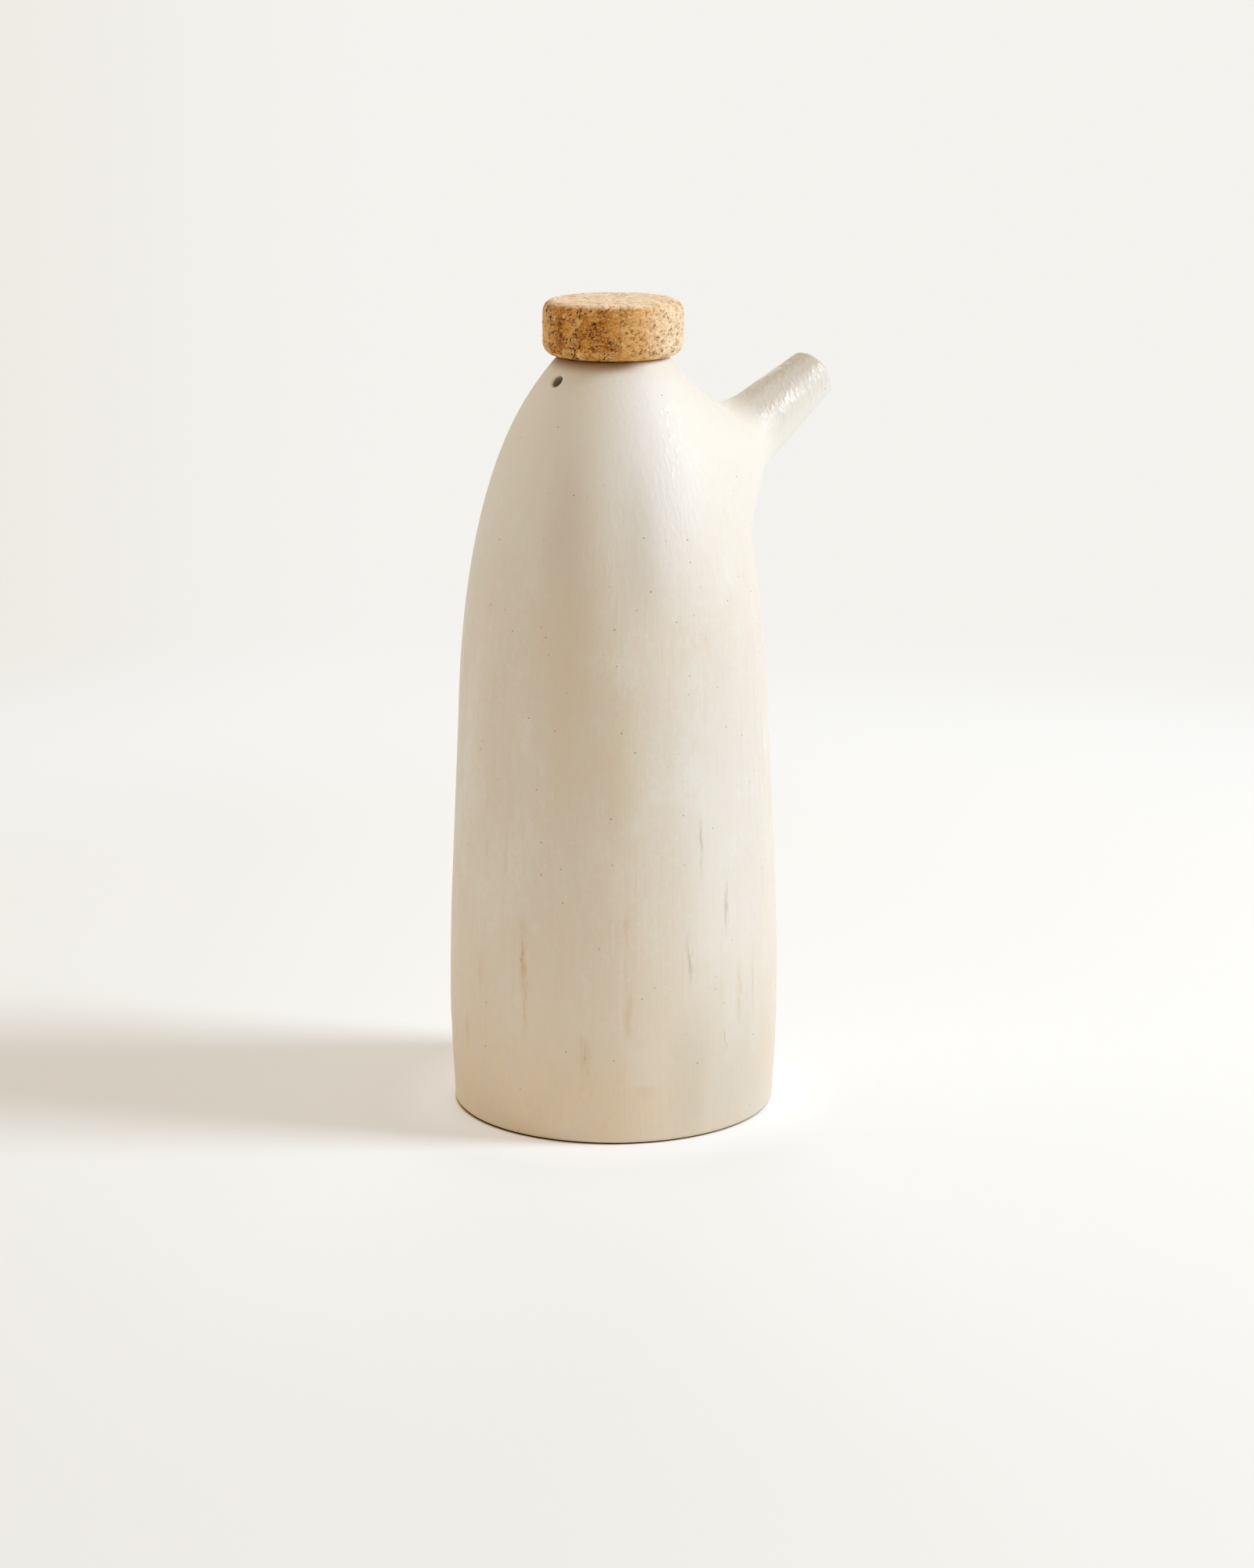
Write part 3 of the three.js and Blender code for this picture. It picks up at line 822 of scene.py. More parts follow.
@dataclass
class ThrownWall:
    """Outline of the thrown wall, and the swelling of its shoulder towards the spout."""

    foot_radius: float = 39.6
    foot_edge: float = 1.2
    foot_lift: float = 0.2
    foot_ring: float = 35.4
    foot_rebate: float = 37.0
    foot_fullness: float = 0.75
    belly_swell: float = 1.05
    belly_height: float = 28.0
    shoulder_draw_in: float = 2.8
    shoulder_height: float = 100.0
    height: float = 185.6
    rim_radius: float = 13.4
    rim_round: float = 0.6
    rim_land: float = 0.9
    lean: float = 0.0373
    ease: float = 0.287
    dome_slope: float = 0.84
    dome_fullness: float = 0.65
    dome_landing: float = 0.13
    swell: float = 13.0
    swell_half_angle: float = math.radians(69.0)
    swell_below_rim: float = 23.1
    swell_rise: float = 19.0
    swell_drop: float = 25.0
    glaze_line: float = 22.0
    glaze_depth: float = 0.12
    glaze_step: float = 2.0
    glaze_waver: float = 6.0
    waver_size: float = 12.0
    hand_depth: float = 0.40
    hand_size: float = 52.0
    finger_depth: float = 0.12
    finger_size: float = 17.0
    calm_edge: float = 6.0
    probe: Pair = (0.01, 0.4)

    def __post_init__(self) -> None:
        """Work out the outline once: three Bezier curves, foot to belly, belly to shoulder, dome."""
        belly = np.array([self.foot_radius + self.belly_swell, self.belly_height])
        shoulder = np.array([belly[0] - self.shoulder_draw_in, self.shoulder_height])
        rim = np.array([self.rim_radius, self.height])
        wall_ease = (shoulder[1] - belly[1]) * self.ease
        fullness = (rim[1] - shoulder[1]) * self.dome_fullness
        landing = (rim[1] - shoulder[1]) * self.dome_landing
        steps = np.linspace(0.0, 1.0, CURVE_STEPS)
        foot_curve = [
            (self.foot_radius, 0.0),
            (self.foot_radius + self.foot_fullness * self.belly_swell, belly[1] / 3.0),
            (belly[0], belly[1] * 2.0 / 3.0),
            belly,
        ]
        wall_curve = [
            belly,
            (belly[0], belly[1] + wall_ease),
            (shoulder[0] + self.lean * wall_ease, shoulder[1] - wall_ease),
            shoulder,
        ]
        dome_curve = [
            shoulder,
            (shoulder[0] - self.lean * fullness, shoulder[1] + fullness),
            (rim[0] + self.dome_slope * landing, rim[1] - landing),
            rim,
        ]
        self.outline = np.concatenate([bezier(each, steps) for each in (foot_curve, wall_curve, dome_curve)])

    def radius(self, height: ArrayLike) -> Array:
        """Radius of the wall at a height, before the shoulder is pushed out."""
        return np.interp(height, self.outline[:, 1], self.outline[:, 0])

    def swelling(self, angle: ArrayLike, height: ArrayLike) -> Array:
        """Push of the shoulder: a squared cosine of the angle times a squared cosine of the height.

        Args:
            angle: Angles from the spout.
            height: Heights in millimetres.

        Returns:
            How far the skin is pushed out at each place.
        """
        above = np.asarray(height) - (self.height - self.swell_below_rim)
        along = np.clip(np.abs(above) / np.where(above > 0.0, self.swell_rise, self.swell_drop), 0.0, 1.0)
        turned = np.abs((np.asarray(angle) + np.pi) % (2.0 * np.pi) - np.pi)
        across = np.clip(turned / self.swell_half_angle, 0.0, 1.0)
        return self.swell * np.cos(along * np.pi / 2.0) ** 2 * np.cos(across * np.pi / 2.0) ** 2

    def relief(self, angle: Array, height: Array) -> Array:
        """Hand-made unevenness: two sizes of noise, less the glaze's thickness where the foot is bare.

        Args:
            angle: Angles from the spout.
            height: Heights in millimetres.

        Returns:
            How far the skin stands out at each place.
        """
        place = about_axis(self.radius(height), angle, height)
        hand = self.hand_depth * (lattice_noise(place, self.hand_size, 3) - 0.5)
        hand += self.finger_depth * (lattice_noise(place, self.finger_size, 5) - 0.5)
        line = self.glaze_line + self.glaze_waver * (lattice_noise(place, self.waver_size, 8) - 0.5)
        bare = self.glaze_depth * (1.0 - smooth(-self.glaze_step, self.glaze_step, height - line))
        fade = smooth(0.0, self.calm_edge, height)
        fade *= smooth(self.height, self.height - self.calm_edge, height)
        return fade * (hand - bare)

    def skin(self, angle: Array, height: Array) -> Array:
        """Points of the outer skin at an angle from the spout and a height.

        Args:
            angle: Angles from the spout.
            height: Heights in millimetres.

        Returns:
            The points: the outline's radius with its unevenness, no wider than the belly, plus the swelling.
        """
        widest = self.foot_radius + self.belly_swell
        uneven = np.minimum(self.radius(height) + self.relief(angle, height), widest)
        return about_axis(uneven + self.swelling(angle, height), angle, height)

    def normal(self, angle: Array, height: Array) -> Array:
        """Outward normals of the outer skin: the cross product of its slopes round and up.

        Args:
            angle: Angles from the spout.
            height: Heights in millimetres.

        Returns:
            One unit vector for each place.
        """
        turn, rise = self.probe
        round_slope = self.skin(angle + turn, height) - self.skin(angle - turn, height)
        up_slope = self.skin(angle, height + rise) - self.skin(angle, height - rise)
        return unit(np.cross(round_slope, up_slope))


@dataclass
class Chamber:
    """Inside of the bottle: throat, vaulted roof, wall and rounded floor."""

    wall: ThrownWall
    thickness: float = 4.0
    floor: float = 5.0
    floor_fillet: float = 7.0
    throat_radius: float = 10.2
    throat_length: float = 7.0
    rim_edge: float = 1.0
    vault_height: float = 7.0
    vault_steps: int = 60

    def __post_init__(self) -> None:
        """Work out the heights of the roof and of the vault's spring, and the vault's curve."""
        self.roof = self.wall.height - self.throat_length
        self.spring = self.roof - self.vault_height
        middle = (self.spring + self.roof) / 2.0
        self.vault_controls = [
            (self.throat_radius, self.roof),
            (self.wall.radius(middle) - self.thickness, middle),
            (self.wall.radius(self.spring) - self.thickness, self.spring),
        ]
        self.vault = bezier(self.vault_controls, np.linspace(0.0, 1.0, self.vault_steps))[::-1]

    def radius(self, height: ArrayLike) -> Array:
        """Inner radius at a height below the throat, before the shoulder is pushed out."""
        vaulted = np.interp(height, self.vault[:, 1], self.vault[:, 0])
        return np.where(np.asarray(height) > self.spring, vaulted, self.wall.radius(height) - self.thickness)

    def skin(self, angle: Array, height: Array) -> Array:
        """Points of the inner skin, which follows the swelling except close under the throat."""
        share = smooth(self.roof, self.spring, height)
        return about_axis(self.radius(height) + share * self.wall.swelling(angle, height), angle, height)


@dataclass
class Spout:
    """Tapered tube that grows out of the swelling through an egg-shaped root."""

    wall: ThrownWall
    chamber: Chamber
    below_rim: float = 23.22
    elevation: float = math.radians(31.4)
    length: float = 27.6
    tip_radius: float = 6.35
    taper: float = math.tan(math.radians(6.0))
    skim: float = 0.05
    lip: float = 1.5
    thickness: float = 2.4
    mouth_edge: float = 0.6
    spread: float = 15.0
    rise: float = 10.2
    drop: float = 17.0
    root_height: float = 8.0
    deepest: float = 20.0
    pull: float = 0.15
    inner_share: float = 0.62
    wall_rings: int = 9
    root_ring_count: int = 24
    tube_rings: int = 17
    lip_rings: int = 7
    mouth_rings: int = 5
    bore_rings: int = 16
    funnel_rings: int = 12
    chamber_rings: int = 7

    def __post_init__(self) -> None:
        """Work out the spout's own axes and the places where it leaves the skin outside and inside."""
        self.axis = np.array([math.cos(self.elevation), 0.0, math.sin(self.elevation)])
        self.side = np.array([0.0, 1.0, 0.0])
        self.up = np.cross(self.axis, self.side)
        height = self.wall.height - self.below_rim
        reach = float(self.wall.radius(height) + self.wall.swelling(0.0, height))
        self.root = np.array([reach, 0.0, height])
        back = np.linspace(0.0, self.deepest, CURVE_STEPS)
        inside = self.root - back[:, None] * self.axis
        clear = self.chamber.radius(inside[:, 2]) + self.wall.swelling(0.0, inside[:, 2]) - inside[:, 0]
        self.inner_root = self.root - float(np.interp(0.0, clear, back)) * self.axis

    def radial(self, turn: Array) -> Array:
        """Directions square to the spout's axis."""
        return np.cos(turn)[..., None] * self.side + np.sin(turn)[..., None] * self.up

    def tube_radius(self, along: ArrayLike) -> Array:
        """Outer radius of the tube at a distance from the root, a little under the solid's."""
        return self.tip_radius - self.skim + (self.length - np.asarray(along)) * self.taper

    def rings(self, along: ArrayLike, radius: ArrayLike, turn: Array) -> Array:
        """Rings of points round the axis, one for each distance and radius."""
        steps = np.asarray(along, float)[:, None, None] * self.axis
        return self.root + steps + np.asarray(radius, float)[:, None, None] * self.radial(turn)

    def turns(self, angle: Array, height: Array, root: Array, share: float) -> Array:
        """Angle round the spout of points on the skin, measured in the root's egg-shaped proportions."""
        reach = np.where(height > root[2], self.rise, self.drop) * share
        return np.arctan2((height - root[2]) / reach, angle * root[0] / (self.spread * share))

    def egg(self, turn: Array, root: Array, share: float) -> Line:
        """Angles and heights of the root's outline on a skin, for the outer root or a smaller inner one."""
        reach = np.where(np.sin(turn) > 0.0, self.rise, self.drop) * share
        return self.spread * share * np.cos(turn) / root[0], root[2] + reach * np.sin(turn)

    def root_rings(
        self, turn: Array, start: Array, normal: Array, along: float, radius: float, steps: int
    ) -> Array:
        """Rings that draw the skin in to the tube.

        Each line is a Bezier curve that leaves the skin straight along its tangent and runs straight into
        the tube's side, so that neither end shows a crease.

        Args:
            turn: Angles round the spout.
            start: Points on the skin.
            normal: Normals of the skin there.
            along: Distance along the axis at which the curves end.
            radius: Radius at which they end.
            steps: Number of rings, without the one on the skin.

        Returns:
            Rings from the skin to the tube.
        """
        out = self.radial(turn)
        stop = self.root + along * self.axis + radius * out
        leave = unit(-out + (out * normal).sum(axis=-1, keepdims=True) * normal)
        sense = np.sign(along - (start - self.root) @ self.axis[:, None])
        arrive = unit(self.axis - self.taper * out) * sense
        span = np.linalg.norm(stop - start, axis=-1, keepdims=True) * self.pull
        leaving = [start, start + leave * span, start + leave * span * 2.0]
        arriving = [stop - arrive * span * 2.0, stop - arrive * span, stop]
        return bezier(leaving + arriving, np.linspace(0.0, 1.0, steps + 1)[1:])

    def skin_rings(self, skin: ThrownWall | Chamber, frame_line: Line, egg: Line, steps: int) -> Array:
        """Rings on a skin that go from a window's frame to the root's outline.

        Args:
            skin: Surface that the rings lie on.
            frame_line: Angles and heights of the window's frame.
            egg: Angles and heights of the root's outline.
            steps: Number of rings, without the frame itself.

        Returns:
            Rings from the frame inwards.
        """
        share = np.linspace(0.0, 1.0, steps + 1)[1:, None]
        angle = frame_line[0] + (egg[0] - frame_line[0]) * share
        height = frame_line[1] + (egg[1] - frame_line[1]) * share
        return skin.skin(angle, height)

    def build(self, outer: Line, inner: Line) -> tuple[Array, Array]:
        """Skin the spout from the window in the wall to the window in the chamber.

        Args:
            outer: Angles and heights of the frame of the wall's window.
            inner: Angles and heights of the frame of the chamber's window.

        Returns:
            Rings of points without the two frames, and how far each ring belongs to the spout, 0 to 1.
        """
        turn = self.turns(outer[0], outer[1], self.root, 1.0)
        egg = self.egg(turn, self.root, 1.0)
        on_wall = self.skin_rings(self.wall, outer, egg, self.wall_rings)
        start_radius = float(self.tube_radius(self.root_height))
        normal = self.wall.normal(*egg)
        place = (self.root_height, start_radius)
        drawn = self.root_rings(turn, on_wall[-1], normal, *place, self.root_ring_count)
        lip_start = self.length - self.lip
        lip_radius = float(self.tube_radius(lip_start))
        lip_ring = self.rings([lip_start], [lip_radius], turn)[0]
        tube = between(drawn[-1], lip_ring, self.tube_rings)
        lip_round = quarter((lip_radius - self.lip, lip_start), self.lip, 0.0, 90.0, self.lip_rings)
        run_end = self.length - self.mouth_edge
        bore_end = float(self.tube_radius(run_end)) - self.thickness
        mouth_centre = (bore_end + self.mouth_edge, run_end)
        mouth_round = quarter(mouth_centre, self.mouth_edge, 90.0, 180.0, self.mouth_rings)
        tip_line = np.concatenate([lip_round, mouth_round])
        tip = self.rings(tip_line[:, 1], tip_line[:, 0], turn)

        inner_egg = self.egg(turn, self.inner_root, self.inner_share)
        inner_start = self.chamber.skin(*inner_egg)
        inner_normal = self.wall.normal(*inner_egg)
        place = (self.root_height, start_radius - self.thickness)
        funnel = self.root_rings(turn, inner_start, inner_normal, *place, self.funnel_rings)[::-1]
        bore = between(tip[-1], funnel[0], self.bore_rings)
        on_chamber = self.skin_rings(self.chamber, inner, inner_egg, self.chamber_rings)[::-1]

        parts = [on_wall, drawn, tube, tip, bore, funnel, on_chamber]
        share = [np.zeros(len(on_wall)), smooth(0.0, 1.0, np.linspace(0.0, 1.0, len(drawn)))]
        share += [np.ones(len(tube) + len(tip) + len(bore) + len(funnel)), np.zeros(len(on_chamber))]
        return np.concatenate(parts), np.concatenate(share)


@dataclass
class BreathingHole:
    """Small round hole, square to the skin, under the rim on the side away from the spout."""

    wall: ThrownWall
    chamber: Chamber
    radius: float = 1.5
    edge: float = 0.5
    below_rim: float = 4.7
    angle: float = math.radians(181.0)
    drill_reach: float = 12.0
    lip_turns: Triple = (30.0, 60.0, 90.0)
    wall_rings: int = 3
    tunnel_rings: int = 5
    chamber_rings: int = 2

    def settle(self, points: Array) -> Array:
        """Move points level on to the outer skin."""
        return self.wall.skin(np.arctan2(points[..., 1], points[..., 0]) % (2.0 * np.pi), points[..., 2])

    def build(self, outer: Line, inner: Line) -> tuple[Array, Array]:
        """Skin the hole from the window in the wall to the window in the chamber.

        Args:
            outer: Angles and heights of the frame of the wall's window.
            inner: Angles and heights of the frame of the chamber's window.

        Returns:
            Rings of points without the two frames, and how far each ring lies inside the hole, 0 to 1.
        """
        height = np.array(self.wall.height - self.below_rim)
        centre = self.wall.skin(np.array(self.angle), height)
        normal = self.wall.normal(np.array(self.angle), height)
        side = np.array([-math.sin(self.angle), math.cos(self.angle), 0.0])
        up = np.cross(normal, side)
        outer_points = self.wall.skin(*outer)
        turn = np.arctan2((outer_points - centre) @ up, (outer_points - centre) @ side)
        out = np.cos(turn)[:, None] * side + np.sin(turn)[:, None] * up

        brow = self.settle(centre + (self.radius + self.edge) * out)
        share = np.linspace(0.0, 1.0, self.wall_rings + 1)[1:, None, None]
        on_wall = self.settle(outer_points + (brow - outer_points) * share)
        rounding = np.radians(np.array(self.lip_turns))[:, None, None]
        reach = self.edge * np.sin(rounding)
        depth = self.edge * (1.0 - np.cos(rounding))
        lip = brow - reach * out - depth * normal

        depths = np.linspace(0.0, self.drill_reach, CURVE_STEPS)
        drilled = lip[-1] - depths[:, None, None] * normal
        clear = self.chamber.radius(drilled[..., 2]) - np.hypot(drilled[..., 0], drilled[..., 1])
        length = depths[np.argmax(clear > 0.0, axis=0)]
        exit_ring = lip[-1] - length[:, None] * normal
        share = np.linspace(0.0, 1.0, self.tunnel_rings + 1)[1:, None, None]
        tunnel = lip[-1] + (exit_ring - lip[-1]) * share
        inner_points = self.chamber.skin(*inner)
        on_chamber = between(exit_ring, inner_points, self.chamber_rings)
        inside = np.concatenate([np.zeros(len(on_wall)), np.linspace(0.0, 1.0, len(lip) + 1)[1:] ** 3])
        inside = np.concatenate([inside, np.ones(len(tunnel) + len(on_chamber))])
        return np.concatenate([on_wall, lip, tunnel, on_chamber]), inside


@dataclass
class Bottle:
    """Stoneware bottle: one closed skin round the wall, mouth, chamber, spout and breathing hole."""

    columns: int = 192
    under_rows: int = 11
    round_rows: int = 6
    wall_rows: int = 100
    neck_rows: int = 2
    rim_rows: int = 5
    throat_rows: int = 6
    chamber_rows: int = 60
    floor_rows: int = 8
    spout_columns: int = 21
    spout_rows: int = 30
    spout_window: Pair = (135.5, 175.2)
    chamber_window: float = 139.0
    hole_columns: int = 6
    hole_rows: int = 10
    hole_window: Pair = (177.4, 184.3)
    first_angle: float = -math.pi / 2.0
    pole_share: float = 0.05
    wall: ThrownWall = field(default_factory=ThrownWall)
    finish: GlazeFinish = field(default_factory=GlazeFinish)

    def __post_init__(self) -> None:
        """Make the parts that share the wall's sizes."""
        self.chamber = Chamber(self.wall)
        self.spout = Spout(self.wall, self.chamber)
        self.hole = BreathingHole(self.wall, self.chamber)

    def rows(self) -> dict[str, Array]:
        """Profile of the revolved skin as named runs of radius and height, from the foot to the floor.

        Returns:
            The runs in order, by name.
        """
        wall = self.wall
        chamber = self.chamber
        foot = wall.foot_edge
        low, high = self.spout_window
        lift = wall.foot_lift + foot
        foot_centre = (float(wall.radius(lift)) - foot, lift)
        rebate = [(wall.foot_ring, 0.0)]
        rebate += [(radius, wall.foot_lift) for radius in (wall.foot_ring, wall.foot_rebate)]

        def run(skin: ThrownWall | Chamber, start: float, stop: float, steps: int) -> Array:
            """A run up or down a skin without its first point."""
            heights = np.linspace(start, stop, steps + 1)[1:]
            return np.stack([skin.radius(heights), heights], axis=1)

        top = wall.height
        crown = top - wall.rim_round
        rim_round = [
            (float(wall.radius(crown)), crown),
            (wall.rim_radius, top),
            (wall.rim_radius - wall.rim_land, top),
        ]
        throat = np.linspace(top - chamber.rim_edge, chamber.roof, self.throat_rows + 1)[1:]
        throat_centre = (chamber.throat_radius + chamber.rim_edge, top - chamber.rim_edge)
        fillet_top = chamber.floor + chamber.floor_fillet
        fillet_centre = (float(chamber.radius(fillet_top)) - chamber.floor_fillet, fillet_top)
        under = np.linspace(self.pole_share, 1.0, self.under_rows + 1)[:-1] * wall.foot_ring
        floor = np.linspace(1.0, self.pole_share, self.floor_rows + 1)[1:] * fillet_centre[0]
        vault = np.linspace(0.0, 1.0, self.hole_rows + 1)[1:]
        return {
            "under": level(under, 0.0),
            "foot": np.concatenate([rebate, quarter(foot_centre, foot, -90.0, 0.0, self.round_rows)]),
            "wall": run(wall, lift, low, self.wall_rows),
            "spout": run(wall, low, high, self.spout_rows),
            "neck": run(wall, high, self.hole_window[0], self.neck_rows),
            "hole": run(wall, *self.hole_window, self.hole_rows),
            "crown": run(wall, self.hole_window[1], crown, self.neck_rows),
            "rim": bezier(rim_round, np.linspace(0.0, 1.0, self.rim_rows)[1:]),
            "throat_edge": quarter(throat_centre, chamber.rim_edge, 90.0, 180.0, self.rim_rows),
            "throat": np.stack([np.full_like(throat, chamber.throat_radius), throat], axis=1),
            "vault": bezier(chamber.vault_controls, vault),
            "chamber_spout": run(chamber, chamber.spring, self.chamber_window, self.spout_rows),
            "chamber": run(chamber, self.chamber_window, fillet_top, self.chamber_rows),
            "fillet": quarter(fillet_centre, chamber.floor_fillet, 0.0, -90.0, self.round_rows + 1)[1:],
            "floor": level(floor, chamber.floor),
        }

    def frame_of(self, numbers: Sizes, lowest: int, highest: int, columns: tuple[int, int]) -> Sizes:
        """Vertex numbers round a window, anticlockwise from outside, starting at its lower first corner.

        Args:
            numbers: Vertex numbers of the revolved skin.
            lowest: Row of the window's lower edge.
            highest: Row of its upper edge, which has the smaller number inside the chamber.
            columns: First and last column.

        Returns:
            The numbers in order, each once.
        """
        first, last = columns
        step = 1 if highest > lowest else -1
        rising = np.arange(lowest, highest, step)
        return np.concatenate(
            [
                numbers[lowest, first:last],
                numbers[rising, last],
                numbers[highest, last:first:-1],
                numbers[rising + step, first][::-1],
            ]
        )

    def build(self) -> bpy.types.Object:
        """Make the bottle's mesh.

        The profile is revolved, the two windows of the spout and of the hole are left open in the wall and
        in the chamber, and rings of points are carried from each window of the wall to the chamber's.

        Returns:
            The finished piece, with its shares of the spout and of the hole stored on each vertex.
        """
        runs = self.rows()
        starts = dict(zip(runs, np.cumsum([0] + [len(run) for run in runs.values()]).tolist()))
        profile = np.concatenate(list(runs.values()))
        angle = self.first_angle + np.arange(self.columns) * 2.0 * np.pi / self.columns
        angles, heights = np.meshgrid(angle, profile[:, 1])
        numbers = np.arange(angles.size).reshape(angles.shape)
        keep = np.ones((len(profile) - 1, self.columns), bool)
        points = self.revolved(profile, starts, angles, heights).reshape(-1, 3)
        tubes = []
        shares = {}
        # Runs that start at the lower and upper edge of each window, in the wall and then in the chamber.
        spout_edges = ("spout", "neck", "chamber", "chamber_spout")
        hole_edges = ("hole", "crown", "chamber_spout", "vault")
        for name, insert, middle, half, edges in (
            ("spout", self.spout, 0.0, self.spout_columns, spout_edges),
            ("hole", self.hole, self.hole.angle, self.hole_columns, hole_edges),
        ):
            column = round((middle - self.first_angle) / (2.0 * np.pi) * self.columns)
            columns = (column - half, column + half)
            rows = [starts[edge] - 1 for edge in edges]
            frames = []
            for lowest, highest in (rows[:2], rows[2:]):
                frames.append(self.frame_of(numbers, lowest, highest, columns))
                keep[min(lowest, highest):max(lowest, highest), slice(*columns)] = False
            rings, share = insert.build(*((angles.ravel()[each], heights.ravel()[each]) for each in frames))
            own = len(points) + np.arange(rings.size // 3).reshape(rings.shape[:2])
            tubes.append(ring_quads(np.vstack([frames[0], own, frames[1]])).reshape(-1, 4))
            shares[name] = (own, share[:, None])
            points = np.concatenate([points, rings.reshape(-1, 3)])

        triangles = caps(numbers, len(points))
        points = np.concatenate([points, [[0.0, 0.0, 0.0], [0.0, 0.0, self.chamber.floor]]])
        quads = np.concatenate([ring_quads(numbers)[keep], *tubes])
        used = np.unique(np.concatenate([quads.ravel(), triangles.ravel()]))
        renumber = np.zeros(len(points), np.int64)
        renumber[used] = np.arange(len(used))
        piece = make_piece("stoneware_bottle", points[used], renumber[quads], renumber[triangles])
        for name, (own, share) in shares.items():
            stored = np.zeros(len(points))
            stored[own] = share
            set_attribute(piece, name, stored[used])
        return piece

    def revolved(self, profile: Array, starts: dict[str, int], angles: Array, heights: Array) -> Array:
        """Points of the revolved skin: the profile's radius, the swelling and the wall's unevenness.

        Args:
            profile: Rows of radius and height.
            starts: First row of each run.
            angles: Angle of each point.
            heights: Height of each point.

        Returns:
            The points on their grid.
        """
        points = about_axis(profile[:, :1], angles, heights)
        outside = slice(starts["wall"], starts["rim"])
        inside = slice(starts["vault"], starts["fillet"])
        points[outside] = self.wall.skin(angles[outside], heights[outside])
        points[inside] = self.chamber.skin(angles[inside], heights[inside])
        return points

    def dress(self, piece: bpy.types.Object) -> None:
        """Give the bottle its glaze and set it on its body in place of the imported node.

        Args:
            piece: The object that build made.
        """
        piece.data.materials.append(self.finish.build())
        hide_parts("bottle")
        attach(piece, Body.BOTTLE.value)


